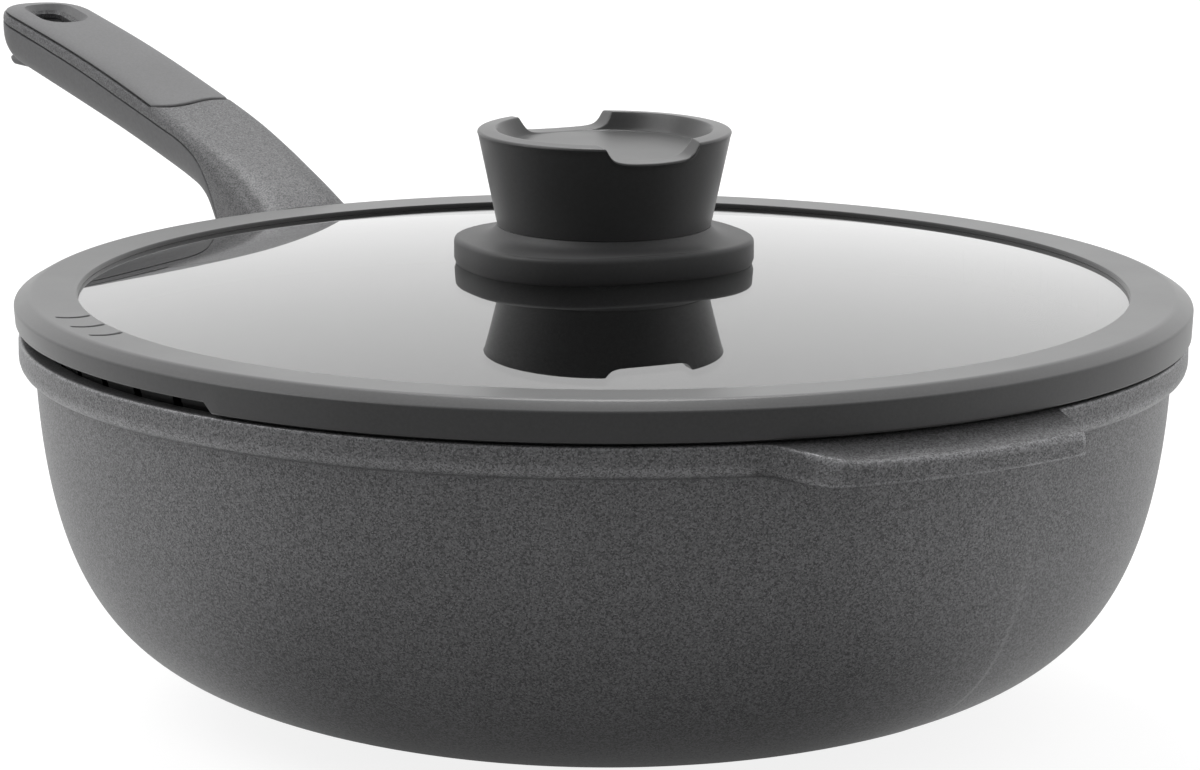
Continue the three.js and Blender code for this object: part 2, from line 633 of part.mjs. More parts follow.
// Lower cover with a small lip under its end and sunk holes for its screws
function lowerShell() {
  const lip = outline([[287, 122.6], [300.8, 122.4, 1], [303.4, 124.4, 1], [298, 127], [288, 125.2]]);
  let shell = form.add(slab(lip, LIP_WIDTH)).subtract(handleCavity(GAP)).intersect(belowSeam(-GAP / 2));
  for (const reach of SHELL_SCREWS) {
    const bottom = -handleDepth(reach);
    const sink = rod(SHELL_HEAD_RADIUS + 2 * GAP, bottom - BEYOND, bottom + SHELL_SCREW_SINK);
    const hole = rod(SHELL_SCREW_RADIUS + GAP, bottom, -CORE_DROP);
    shell = shell.subtract(underTop(sink.add(hole), reach));
  }
  return shell.subtract(hang).subtract(envelope);
}

function gripPad() {
  return form.intersect(padRegion(0)).subtract(hang);
}

// Steel strap from the lug to the grip, following the top line
function handleCore() {
  const under = [];
  for (let reach = LUG_FACE + GAP; reach <= CAVITY_END - 5; reach += 9) {
    under.push(vector2(reach, topLine(reach) - CORE_DROP));
  }
  const over = under.map(({ x, y }) => vector2(x, y + CORE_THICKNESS)).reverse();
  let core = slab([...under, ...over], CORE_WIDTH);
  for (const reach of [...LUG_SCREWS, ...SHELL_SCREWS]) {
    core = core.subtract(underTop(rod(LUG_SCREW_RADIUS + GAP, -BEYOND, 0), reach));
  }
  return core;
}

// Lug screw pointing down through the strap into the lug
function lugScrew(reach) {
  const seat = GAP - square(reach, CORE_DROP - CORE_THICKNESS);
  const upright = screw(LUG_SCREW_RADIUS, LUG_HEAD_RADIUS, -HANDLE_HEAD_HEIGHT, 0, LUG_SCREW_LENGTH);
  return underTop(upright.rotate([180, 0, 0]).translate([0, 0, seat]), reach);
}

// Shell screw pointing up through the lower cover into the boss
function shellScrew(reach) {
  const seat = SHELL_SCREW_SINK - GAP - handleDepth(reach);
  const headBottom = seat - HANDLE_HEAD_HEIGHT;
  return underTop(screw(SHELL_SCREW_RADIUS, SHELL_HEAD_RADIUS, headBottom, seat, -SHELL_SCREW_TOP), reach);
}

const handle = new THREE.Group();
handle.rotation.z = Math.PI;
handle.add(
  piece('handle_core', handleCore(), steel),
  piece('handle_upper_shell', upperShell(), coatedMetal),
  piece('handle_lower_shell', lowerShell(), gripPlastic),
  piece('handle_grip_pad', gripPad(), gripSoft),
);
LUG_SCREWS.forEach((reach, i) => handle.add(piece(`lug_screw_${i + 1}`, lugScrew(reach), steel)));
SHELL_SCREWS.forEach((reach, i) => handle.add(piece(`shell_screw_${i + 1}`, shellScrew(reach), steel)));

const lid = new THREE.Group();
lid.rotation.z = toRadians(LID_TURN);
lid.add(
  piece('lid_glass', lidGlass(), smokedGlass),
  piece('lid_ring', lidRing(), silicone),
  piece('knob_foot', knobFoot(), silicone),
  piece('knob_cup', knobCup(), knobPlastic),
  piece('knob_insert', ringBody(INSERT_RADIUS, INSERT_BOTTOM, INSERT_TOP), brass),
  piece('glass_sleeve', ringBody(GLASS_HOLE - GAP, glassUnder, GLASS_CROWN - GAP), silicone),
  piece('soft_washer', ringBody(SOFT_WASHER_RADIUS, steelWasherTop + GAP, softWasherTop), silicone),
  piece('steel_washer', ringBody(STEEL_WASHER_RADIUS, screwHeadTop + GAP, steelWasherTop), steel),
  piece('knob_screw', knobScrew(), steel),
);

const wok = new THREE.Group();
wok.add(piece('pan_body', panBody(), coatedMetal), piece('base_plate', basePlate(), steel), handle, lid);

export default wok;
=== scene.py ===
"""Deep cast wok with a two-shell handle and a domed glass lid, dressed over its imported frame.

Laid out as an add-on: sizes and colours are scene properties, and each operator makes one piece
or one group of like pieces. Shapes are worked out in millimetres, in the part's own frame.
"""

import math
from types import SimpleNamespace

import bmesh
import bpy
import numpy as np
from bpy.props import FloatProperty, FloatVectorProperty, PointerProperty
from mathutils import Matrix, Vector


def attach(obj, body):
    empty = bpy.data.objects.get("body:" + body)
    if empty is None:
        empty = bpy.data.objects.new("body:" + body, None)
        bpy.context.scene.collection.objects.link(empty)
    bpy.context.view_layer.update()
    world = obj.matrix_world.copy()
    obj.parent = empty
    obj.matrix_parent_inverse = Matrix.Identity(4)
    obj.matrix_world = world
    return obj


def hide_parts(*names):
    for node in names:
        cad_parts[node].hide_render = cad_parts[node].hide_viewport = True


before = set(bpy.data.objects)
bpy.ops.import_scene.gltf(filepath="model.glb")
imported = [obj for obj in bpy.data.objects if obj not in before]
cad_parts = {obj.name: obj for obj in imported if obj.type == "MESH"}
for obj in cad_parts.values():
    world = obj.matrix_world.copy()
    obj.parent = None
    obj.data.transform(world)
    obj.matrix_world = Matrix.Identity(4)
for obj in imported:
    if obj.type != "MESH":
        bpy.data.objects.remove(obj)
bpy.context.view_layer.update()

bl_info = {
    "name": "Wok with lid",
    "version": (1, 0, 0),
    "blender": (4, 5, 0),
    "location": "View3D > Sidebar > Wok",
    "description": "Makes a deep wok with its handle and glass lid from sizes and colours",
    "category": "Object",
}

# The part: lengths in millimetres, turns in radians
MM = 0.001
CLEARANCE = 0.3
SEAM = 0.6
SEAM_SHIFT = SEAM * 0.4
SHARP = math.radians(32)
LID_TURN = math.radians(261.5)
HANDLE_TURN = math.pi
SCREW_REACHES = (198, 246)
OUTER_PULLS = ((116.6, 10.7), (137.2, 23.2))
INNER_PULLS = ((133.6, 25.5), (112.5, 12.5))
POWER_ABOVE = 4.4
POWER_BELOW = 2.6
NECK_START = 136.0
NECK_EASE = 178.0

# Painted shade on the ring, standing for the shadow in the notch gap and at the lip on the glass: within a
# radius and below a height, in metres, and the share of colour left
PLUG_PAINTED_SHADE = (0.1442, 0.0985, 0.1)
LIP_PAINTED_SHADE = (0.1306, 0.1033, 0.3)

# The stage: lengths in metres, apart from the lens and the floor's drop, which are in millimetres
CAMERA_TURN = math.radians(-33)
CAMERA_RISE = 0.1950829
CAMERA_FAR = 1.6
CAMERA_ROLL = 0.0046169
CAMERA_LENS = 192.625
AIM = Vector((0, 0, 0.0788498))
SHIFT_PIXELS = -3.3259
IMAGE_WIDTH = 1200
DARK_TURN = math.radians(-36)
DARK_RISE = 0.45
FLOOR_DROP = 0.2


# Sizes and colours

def length(name, description, millimetres):
    """A length, given in millimetres and kept in metres."""
    return FloatProperty(name=name, description=description, default=millimetres * MM, min=0,
                         precision=5, unit="LENGTH", subtype="DISTANCE")


def angle(name, description, degrees):
    """An angle, given in degrees and kept in radians."""
    return FloatProperty(name=name, description=description, default=math.radians(degrees), min=0,
                         unit="ROTATION", subtype="ANGLE")


def colour(name, description, value):
    """A linear colour."""
    return FloatVectorProperty(name=name, description=description, default=value, size=3, min=0, max=1,
                               subtype="COLOR")


class WokPanSizes(bpy.types.PropertyGroup):
    """Sizes of the cast pan and its base plate"""
    band_radius: length("Band radius", "Outside of the rim band", 145)
    band_top: length("Band top", "Height of the rim over the hob", 93.1)
    band_foot: length("Band foot", "Height where the band meets the bowl wall", 84.6)
    band_round: length("Band rounding", "Rounding under the band", 3.6)
    wall_top_radius: length("Wall top radius", "Bowl wall just under the band", 140.9)
    rim_inner_radius: length("Rim inner radius", "Inside of the rim", 140)
    wall: length("Wall", "Thickness of the bowl wall", 3.5)
    base_radius: length("Base radius", "Where the bowl wall leaves the base", 76.8)
    base_height: length("Base height", "Height of the casting over the hob", 0.5)
    floor_radius: length("Floor radius", "Flat floor inside the bowl", 74.5)
    floor_height: length("Floor height", "Height of the floor inside the bowl", 5.5)
    plate_radius: length("Plate radius", "Steel disc in the base", 72)
    plate_thickness: length("Plate thickness", "Steel disc in the base", 1.2)
    tab_radius: length("Tab reach", "Outer edge of the helper tab from the pan axis", 155)
    tab_top: length("Tab top", "Height of the helper tab", 89)
    tab_bottom: length("Tab bottom", "Underside of the helper tab", 83.2)
    tab_ramp_start: angle("Tab ramp start", "Angle before the middle where the ramp leaves the band", 19)
    tab_wide_start: angle("Tab wide start", "Angle before the middle where its reach is full", 12.8)
    tab_low_start: angle("Tab low start", "Angle before the middle where the tab's top is lowest", 9)
    tab_short_start: angle("Tab short start", "Angle past the middle where the short end begins", 13.4)
    tab_short_end: angle("Tab short end", "Angle past the middle where the tab is back at the band", 14.6)


class WokLidSizes(bpy.types.PropertyGroup):
    """Sizes of the glass, its soft ring and the knob"""
    glass_crown: length("Glass crown", "Height of the middle of the glass", 110.6)
    dome_radius: length("Dome radius", "Radius of the glass dome", 1030)
    glass_radius: length("Glass radius", "Edge of the glass, inside the ring", 139.4)
    glass_thickness: length("Glass thickness", "Thickness of the glass", 4)
    glass_hole: length("Glass hole", "Radius of the hole for the knob screw", 4.9)
    ring_inner: length("Ring inner radius", "Lip of the ring on the glass", 130.2)
    ring_outer: length("Ring outer radius", "Outside of the skirt", 146.1)
    ring_top: length("Ring top", "Height of the flat top", 103.6)
    ring_bevel: length("Ring bevel radius", "Where the flat top meets the bevel", 142.2)
    ring_shoulder: length("Ring shoulder", "Height where the bevel meets the skirt", 101.3)
    skirt_bottom: length("Skirt bottom", "Lower edge of the skirt", 94)
    plug_inner: length("Plug inner radius", "Inside of the plug that sits in the pan", 133)
    plug_outer: length("Plug outer radius", "Outside of the plug", 136.6)
    plug_bottom: length("Plug bottom", "Lower edge of the plug", 86.6)
    notch_inner: length("Notch inner radius", "Back wall of the pouring notches", 138.6)
    notch_rise: length("Notch rise", "Height that the skirt is raised at the notches", 2.5)
    notch_half_angle: angle("Notch half angle", "Half of the width of a pouring notch", 27)
    slot_width: length("Drain slot width", "Width of a drain slot in the plug", 3)
    slot_pitch: angle("Drain slot pitch", "Angle between drain slots", 6.5)
    cup_bottom: length("Knob bottom", "Lower edge of the knob cup", 119.6)
    cup_edge: length("Knob edge", "Height of the knob's outer edge", 143.2)
    cup_crest: length("Knob crest", "Highest point of the knob", 143.7)
    cup_floor: length("Knob floor", "Height of the recessed floor", 139.2)
    cup_foot_radius: length("Knob lower radius", "Radius of the knob at its lower edge", 26.5)
    cup_radius: length("Knob upper radius", "Radius of the knob at its upper edge", 31.5)
    cup_crest_radius: length("Knob crest radius", "Radius of the knob's highest point", 26.8)
    cup_floor_radius: length("Knob floor radius", "Radius of the recessed floor", 24.4)
    channel_width: length("Spoon channel", "Width of the channel across the knob", 24.5)
    foot_half_length: length("Foot half length", "Half of the foot's long side", 36.6)
    foot_half_width: length("Foot half width", "Half of the foot's short side", 32.2)
    foot_top: length("Foot top", "Height of the foot's edge", 116.6)


class WokHandleSizes(bpy.types.PropertyGroup):
    """Sizes of the long handle, measured along its reach from the pan axis"""
    end: length("Handle end", "Reach of the handle's end", 304.2)
    end_round: length("End rounding", "Length of the rounded end", 15.6)
    neck_face: length("Neck face", "Reach of the neck's face beside the rim", 147)
    neck_gap: length("Neck gap", "Clearance between the neck and the bowl wall", 0.8)
    pad_front: length("Pad front", "Reach of the pad's front edge", 205.5)
    pad_sway: length("Pad sway", "How far the pad's front edge swings", 1.2)
    pad_corner: length("Pad corner", "How far the pad's front corners are set back", 5.5)
    pad_thickness: length("Pad thickness", "Thickness of the soft pad", 1.2)
    hang_centre: length("Hang slot centre", "Reach of the middle of the hang slot", 286.5)
    hang_half_length: length("Hang slot half length", "Half length of the hang slot", 7.75)
    hang_half_width: length("Hang slot half width", "Half width of the hang slot", 4.5)
    hang_corner: length("Hang slot corner", "Corner radius of the hang slot", 3.6)
    hang_flare: length("Hang slot flare", "Depth and width of the flare above the slot", 2.8)


class WokColours(bpy.types.PropertyGroup):
    """Colours of the finishes"""
    pan_coat: colour("Pan coat", "Dark speckled coat of the pan", (0.156, 0.156, 0.16))
    pan_flake: colour("Pan flakes", "Light flakes in the pan coat", (0.34, 0.34, 0.345))
    neck_coat: colour("Neck coat", "Speckled coat of the handle's upper shell", (0.118, 0.118, 0.121))
    neck_flake: colour("Neck flakes", "Light flakes in the handle coat", (0.28, 0.28, 0.284))
    cover: colour("Handle cover", "Moulded lower shell", (0.145, 0.145, 0.148))
    pad: colour("Grip pad", "Soft pad", (0.17, 0.17, 0.173))
    ring: colour("Lid ring", "Soft ring round the glass", (0.06, 0.06, 0.061))
    foot: colour("Knob foot", "Soft plate under the knob", (0.042, 0.042, 0.043))
    knob: colour("Knob", "Moulded knob", (0.036, 0.036, 0.0365))
    glass: colour("Glass", "Tint of the glass", (0.32, 0.32, 0.32))
    steel: colour("Steel", "Base plate, washer and screws", (0.55, 0.55, 0.56))
    brass: colour("Brass", "Threaded insert", (0.62, 0.42, 0.16))


def millimetres(group):
    """The lengths of a property group in millimetres, its angles as they are."""
    values = {}
    for name in group.__annotations__:
        is_length = group.bl_rna.properties[name].unit == "LENGTH"
        values[name] = getattr(group, name) / (MM if is_length else 1)
    return SimpleNamespace(**values)


# Lines and sections

def smooth_line(stations):
    """Cubic through (reach, height) stations; the slope at each is that of the chord of its neighbours."""
    x, z = np.array(stations, float).T
    here = np.arange(len(x))
    before, after = np.maximum(here - 1, 0), np.minimum(here + 1, len(x) - 1)
    slope = (z[after] - z[before]) / (x[after] - x[before])

    def line(s):
        i = np.clip(np.searchsorted(x, s, side="right"), 1, len(x) - 1)
        span = x[i] - x[i - 1]
        t = (s - x[i - 1]) / span
        bend = z[i - 1] + (z[i] - z[i - 1]) * t * t * (3 - 2 * t)
        return bend + t * (1 - t) ** 2 * span * slope[i - 1] + t * t * (t - 1) * span * slope[i]
    return line


TOP_LINE = smooth_line([(136, 95.8), (147, 102.7), (156, 107.3), (165, 111), (185, 117.4), (209, 123.9),
                        (252, 133), (303.5, 141.4)])
WAIST_LINE = smooth_line([(136, 83), (150, 87.5), (163, 96), (175, 106), (190, 114.3), (209, 119.2),
                          (252, 128.2), (303.5, 136.6)])
BOTTOM_LINE = smooth_line([(136, 63), (148, 66), (157, 71.5), (164, 79), (170, 88), (175.5, 96.8),
                           (181, 100.3), (190, 102.6), (226, 110.3), (255, 115.8), (303.5, 124.9)])
SEAM_LINE = smooth_line([(130, 68), (148, 74), (157, 80.5), (164, 89.5), (170, 99.6), (174.5, 105.8),
                         (181, 111.4), (190, 115.1), (203, 117.9), (222, 121.9), (252, 128.3),
                         (310, 138.6)])
HALF_WIDTH_LINE = smooth_line([(136, 18.2), (148, 16.6), (165, 14.9), (185, 13.7), (209, 13.2),
                               (252, 13.2), (288, 13.4), (303.5, 13.4)])


def smoothstep(value, low, high):
    """Cubic ease from 0 at the low value to 1 at the high one."""
    t = np.clip((value - low) / (high - low), 0, 1)
    return t * t * (3 - 2 * t)


def soft_min(a, b, blend):
    """Lower of two heights, with the edge between them rounded over about the blend."""
    return (a + b - np.sqrt((a - b) ** 2 + blend ** 2)) / 2


def bezier(points, steps):
    """Cubic curve on four control points, as rows of (radius, height)."""
    a, b, c, d = np.array(points, float)
    t = np.linspace(0, 1, steps)[:, None]
    return (1 - t) ** 3 * a + 3 * t * (1 - t) ** 2 * b + 3 * t * t * (1 - t) * c + t ** 3 * d


def outline_parts(corners, count, steps=7):
    """Sections at many angles, one part per corner (radius, height) or (radius, height, cut).

    A corner with a cut becomes a parabola that leaves each of its two lines that far from the corner.
    """
    spots = [np.stack(np.broadcast_arrays(c[0], c[1], np.zeros(count))[:2], -1) for c in corners]
    t = np.linspace(0, 1, steps)[:, None]
    parts = []
    for i, corner in enumerate(corners):
        at = spots[i]
        if len(corner) < 3:
            parts.append(at[:, None])
            continue
        ends = []
        for other in (spots[i - 1], spots[(i + 1) % len(spots)]):
            way = other - at
            way = way / np.maximum(np.linalg.norm(way, axis=-1, keepdims=True), 1e-9)
            ends.append((at + way * np.broadcast_to(corner[2], count)[:, None])[:, None])
        parts.append((1 - t) ** 2 * ends[0] + 2 * t * (1 - t) * at[:, None] + t * t * ends[1])
    return parts


def repeated(section, count):
    """The same rows of (radius, height) at every angle."""
    return np.broadcast_to(np.asarray(section, float), (count, len(section), 2))


def turned(angles, sections):
    """Sections of (radius, height) carried round the upright axis: x, y = radius times cosine, sine."""
    radius, height = sections[..., 0], sections[..., 1]
    turn = np.asarray(angles)[:, None]
    return np.stack([radius * np.cos(turn), radius * np.sin(turn), height], -1)


def full_turn(count):
    """Even angles round a circle."""
    return np.linspace(0, 2 * math.pi, count, endpoint=False)


def rotated(points, turn):
    """Points turned about the upright axis."""
    c, s = math.cos(turn), math.sin(turn)
    return points @ np.array([[c, s, 0], [-s, c, 0], [0, 0, 1]])


# Meshes

def skin(name, points, loop_rows=False, loop_columns=False, caps=False):
    """Quads over a grid of points (rows, columns, xyz); loops close it, caps fill its end rows."""
    rows, columns = points.shape[:2]
    index = np.arange(rows * columns).reshape(rows, columns)
    ends = [index[0, ::-1].tolist(), index[-1].tolist()] if caps else []
    if loop_rows:
        index = np.vstack([index, index[:1]])
    if loop_columns:
        index = np.hstack([index, index[:, :1]])
    quads = np.stack([index[:-1, :-1], index[:-1, 1:], index[1:, 1:], index[1:, :-1]], -1)
    mesh = bpy.data.meshes.new(name)
    mesh.from_pydata(points.reshape(-1, 3) * MM, [], quads.reshape(-1, 4).tolist() + ends)
    shape = bmesh.new()
    shape.from_mesh(mesh)
    bmesh.ops.remove_doubles(shape, verts=shape.verts, dist=2e-6)
    bmesh.ops.dissolve_degenerate(shape, edges=shape.edges, dist=1e-7)
    bmesh.ops.recalc_face_normals(shape, faces=shape.faces)
    if shape.calc_volume(signed=True) < 0:
        bmesh.ops.reverse_faces(shape, faces=shape.faces)
    shape.to_mesh(mesh)
    shape.free()
    mesh.shade_smooth()
    mesh.set_sharp_from_angle(angle=SHARP)
    piece = bpy.data.objects.new(name, mesh)
    bpy.context.scene.collection.objects.link(piece)
    return piece


def carve(piece, cutters):
    """Cut closed bodies out of a piece with applied Booleans, then remove them."""
    for cutter in cutters:
        cut = piece.modifiers.new(cutter.name, "BOOLEAN")
        cut.operation = "DIFFERENCE"
        cut.solver = "EXACT"
        cut.object = cutter
    bpy.context.view_layer.update()
    whole = piece.data
    solid = piece.evaluated_get(bpy.context.evaluated_depsgraph_get())
    piece.data = bpy.data.meshes.new_from_object(solid)
    piece.modifiers.clear()
    piece.data.name = whole.name + "_cut"
    bpy.data.meshes.remove(whole)
    for cutter in cutters:
        bpy.data.objects.remove(cutter)
    piece.data.shade_smooth()
    piece.data.set_sharp_from_angle(angle=SHARP)
    return piece


def settle(piece, finish, body, slot, *nodes):
    """Give a piece its finish and body, and hide the frame nodes that it stands for; the slot argument is
    not used.
    """
    piece.data.materials.clear()
    piece.data.materials.append(finish)
    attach(piece, body)
    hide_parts(*nodes)


# Pan surfaces

def tab_share(turn, size, whole_from):
    """1 along the helper tab, eased from 0 over the ramp at one end and back to 0 at the short end."""
    off = (turn + math.pi) % (2 * math.pi) - math.pi
    out = smoothstep(off, -size.tab_ramp_start, -whole_from)
    return out - smoothstep(off, size.tab_short_start, size.tab_short_end)


def pan_surface(size):
    """Bowl section carried round the axis.

    The section runs from the underside up the outer wall, a cubic, round the band, over the rim and
    down the inner wall to the floor. Along the tab the band's outer corner moves out and drops, each
    by its own eased share, so that the tab's top slopes down from the rim.
    """
    short_end = np.linspace(size.tab_short_start, size.tab_short_end, 30)
    turn = np.unique(np.concatenate([full_turn(480), short_end]))
    count = len(turn)
    out = tab_share(turn, size, size.tab_wide_start)
    drop = tab_share(turn, size, size.tab_low_start)
    edge = size.band_radius + (size.tab_radius - size.band_radius) * out
    top = size.band_top + (size.tab_top - size.band_top) * drop
    foot = size.band_foot + (size.tab_bottom - size.band_foot) * out
    recess = size.plate_thickness + CLEARANCE
    recess_edge = size.plate_radius + CLEARANCE
    under = repeated([(0, recess), (size.plate_radius / 2, recess), (recess_edge, recess),
                      (recess_edge, size.base_height)], count)
    wall = np.array(repeated(bezier([(size.base_radius, size.base_height), *OUTER_PULLS,
                                     (size.wall_top_radius, size.band_foot)], 56), count))
    wall[..., 1] *= (foot / size.band_foot)[:, None]
    low_edge, tab_round, past_round = 0.6, 0.8, 1.15
    low_round = size.band_round + (tab_round - size.band_round) * out
    top_round = 0.9 + 0.7 * out
    band = outline_parts([
        (size.wall_top_radius, foot),
        (edge, foot + low_edge, low_round),
        (edge, foot + low_edge + past_round * low_round),
        (edge, top - past_round * top_round),
        (edge, top, top_round),
        (size.band_radius - 1.6, size.band_top, 0.6 * drop),
        (size.rim_inner_radius, size.band_top, 0.8),
        (size.wall_top_radius - size.wall, size.band_foot),
    ], count)
    inside = repeated(bezier([(size.wall_top_radius - size.wall, size.band_foot), *INNER_PULLS,
                              (size.floor_radius, size.floor_height)], 44), count)
    floor = repeated([(r, size.floor_height) for r in (50, 25, 0)], count)
    return turned(turn, np.concatenate([under, wall, *band[1:-1], inside, floor], axis=1))


def lug_surface(width=18):
    """Side outline of the lug, from the wall to its end, drawn across the handle with rounded edges."""
    wall, end, top = 138, 170, 91
    reach = np.linspace(wall, end, 12)
    low = np.stack([reach, BOTTOM_LINE(reach) + 11], -1)
    back = np.linspace(end, 149.5, 8)
    high = np.stack([back, TOP_LINE(back) - 9.5], -1)
    return slab(np.concatenate([low, high, [(147, top), (wall, top)]]), width)


def slab(side, width, edge=0.8):
    """A closed side outline in reach and height, drawn across.

    Near both faces it shrinks towards its middle by a quarter round.
    """
    middle = side.mean(0)
    t = np.linspace(0, 1, 5)
    quarter = 1 - np.sqrt(1 - (1 - t) ** 2)
    shrink = np.concatenate([quarter, quarter[::-1]]) * edge
    across = np.concatenate([t * edge - width / 2, width / 2 - t[::-1] * edge])
    span = np.linalg.norm(side - middle, axis=1).mean()
    rows = middle + (side - middle) * (1 - shrink / span)[:, None, None]
    return np.stack([rows[..., 0], np.broadcast_to(across[:, None], rows.shape[:2]), rows[..., 1]], -1)


def plate_surface(size, count=256):
    """Disc whose underside dips by a cosine bump into each of two ring grooves."""
    grooves, deep, corner = (30, 52), 0.5, 0.4
    radius = np.linspace(0, size.plate_radius - corner, 220)
    groove = sum(deep * np.cos(np.clip(radius - r, -1, 1) * math.pi / 2) ** 2 for r in grooves)
    below = np.stack([radius, groove], -1)
    rim = [(size.plate_radius - 0.1, 0.12), (size.plate_radius, corner),
           (size.plate_radius, size.plate_thickness), (0, size.plate_thickness)]
    return turned(full_turn(count), repeated(np.vstack([below, rim]), count))


# Lid surfaces

def glass_top(size, radius):
    """Height of the glass: its crown less the squared radius over twice the dome radius."""
    return size.glass_crown - radius ** 2 / (2 * size.dome_radius)


def glass_surface(size, count=256):
    """Shallow dome: height falls with the square of the radius, and the edge is ground half round."""
    half = size.glass_thickness / 2
    radius = np.linspace(size.glass_hole, size.glass_radius - half, 60)
    top = np.stack([radius, glass_top(size, radius)], -1)
    sweep = np.linspace(math.pi / 2, -math.pi / 2, 15)[1:-1]
    edge = np.stack([radius[-1] + half * np.cos(sweep), top[-1, 1] - half + half * np.sin(sweep)], -1)
    bottom = top[::-1] - [0, size.glass_thickness]
    return turned(full_turn(count), repeated(np.vstack([top, edge, bottom]), count))


def ring_angles(size):
    """Even steps of one degree, fine steps across the engraved marks, double rows at the drain slots."""
    half_slot = math.degrees(size.slot_width / 2 / (size.plug_inner + 2))
    centres = np.arange(-3, 4) * math.degrees(size.slot_pitch)
    ends = np.add.outer(np.add.outer([0, 180], centres), [-half_slot, half_slot]).ravel()
    doubled = np.add.outer(ends, [-1e-4, 1e-4]).ravel()
    notch = math.degrees(size.notch_half_angle)
    corners = np.add.outer([0, 180], [-notch, 1 - notch, notch - 1, notch]).ravel()
    marks = np.arange(-7, 6.5, 0.07)
    every = np.concatenate([np.arange(-180, 180, 1.0), doubled, corners, marks])
    return np.radians(np.unique((every + 180) % 360 - 180))


def ring_marks(turn, radius):
    """Depth of three engraved lines: each bows by 1.5 mm about its own angle and fades at its ends."""
    middle, half, deep, thick, shift = 135.3, 4.1, 0.8, 0.65, 0.011
    inner, outer, fade = 130.9, 139.1, 0.6
    bow = 1.5 / 135 * (1 - ((radius - middle) / half) ** 2)
    depth = 0
    for centre in (-5.5, -0.2, 4.8):
        off = (turn - math.radians(centre) - bow + shift) * radius
        depth = depth + deep * np.exp(-(off / thick) ** 4)
    return depth * smoothstep(radius, inner, inner + fade) * (1 - smoothstep(radius, outer, outer + fade))


def ring_surface(size):
    """Ring section carried round the axis, changed by angle.

    The skirt's lower edge rises along the two notches, and the plug is cut up to a ceiling at each
    drain slot. The flat top carries the engraved marks.
    """
    turn = ring_angles(size)
    count = len(turn)
    side = (turn + math.pi / 2) % math.pi - math.pi / 2
    notch = np.clip((size.notch_half_angle - np.abs(side)) / math.radians(1), 0, 1)
    nearest = size.slot_pitch * np.clip(np.round(side / size.slot_pitch), -3, 3)
    slot = np.abs(side - nearest) < size.slot_width / 2 / (size.plug_inner + 2)
    ceiling = size.skirt_bottom + 1
    on_rim, skirt_inner = 93.4, 144.2
    seat = on_rim + (size.skirt_bottom + size.notch_rise - on_rim) * notch
    skirt = size.skirt_bottom + size.notch_rise * notch
    low = np.where(slot, ceiling, size.plug_bottom)
    low_round = np.where(slot, 0.05, 0.9)
    heel = np.where(slot, ceiling, on_rim)
    groove = size.glass_radius + CLEARANCE
    under = size.glass_thickness + CLEARANCE
    parts = outline_parts([
        (size.ring_inner, glass_top(size, size.ring_inner) + 0.05),
        (groove, glass_top(size, groove) + 0.05),
        (groove, glass_top(size, groove) - under),
        (size.plug_inner, glass_top(size, size.plug_inner) - under),
        (size.plug_inner, low, low_round),
        (size.plug_outer, low, low_round),
        (size.notch_inner - 0.2, heel),
        (size.notch_inner, heel),
        (size.notch_inner + 0.1, seat),
        (skirt_inner - 0.6, seat),
        (skirt_inner, skirt),
        (size.ring_outer - 0.4, skirt, 0.55),
        (size.ring_outer, size.ring_shoulder, 0.6),
        (size.ring_bevel, size.ring_top, 0.9),
        (size.ring_inner + 0.3, size.ring_top, 0.25),
    ], count)
    radius = np.linspace(size.ring_bevel - 1, size.ring_inner + 0.6, 60)
    top = np.array(repeated(np.stack([radius, np.full_like(radius, size.ring_top)], -1), count))
    top[..., 1] -= ring_marks(turn[:, None], radius)
    return rotated(turned(turn, np.concatenate([*parts[:-1], top, parts[-1]], axis=1)), LID_TURN)


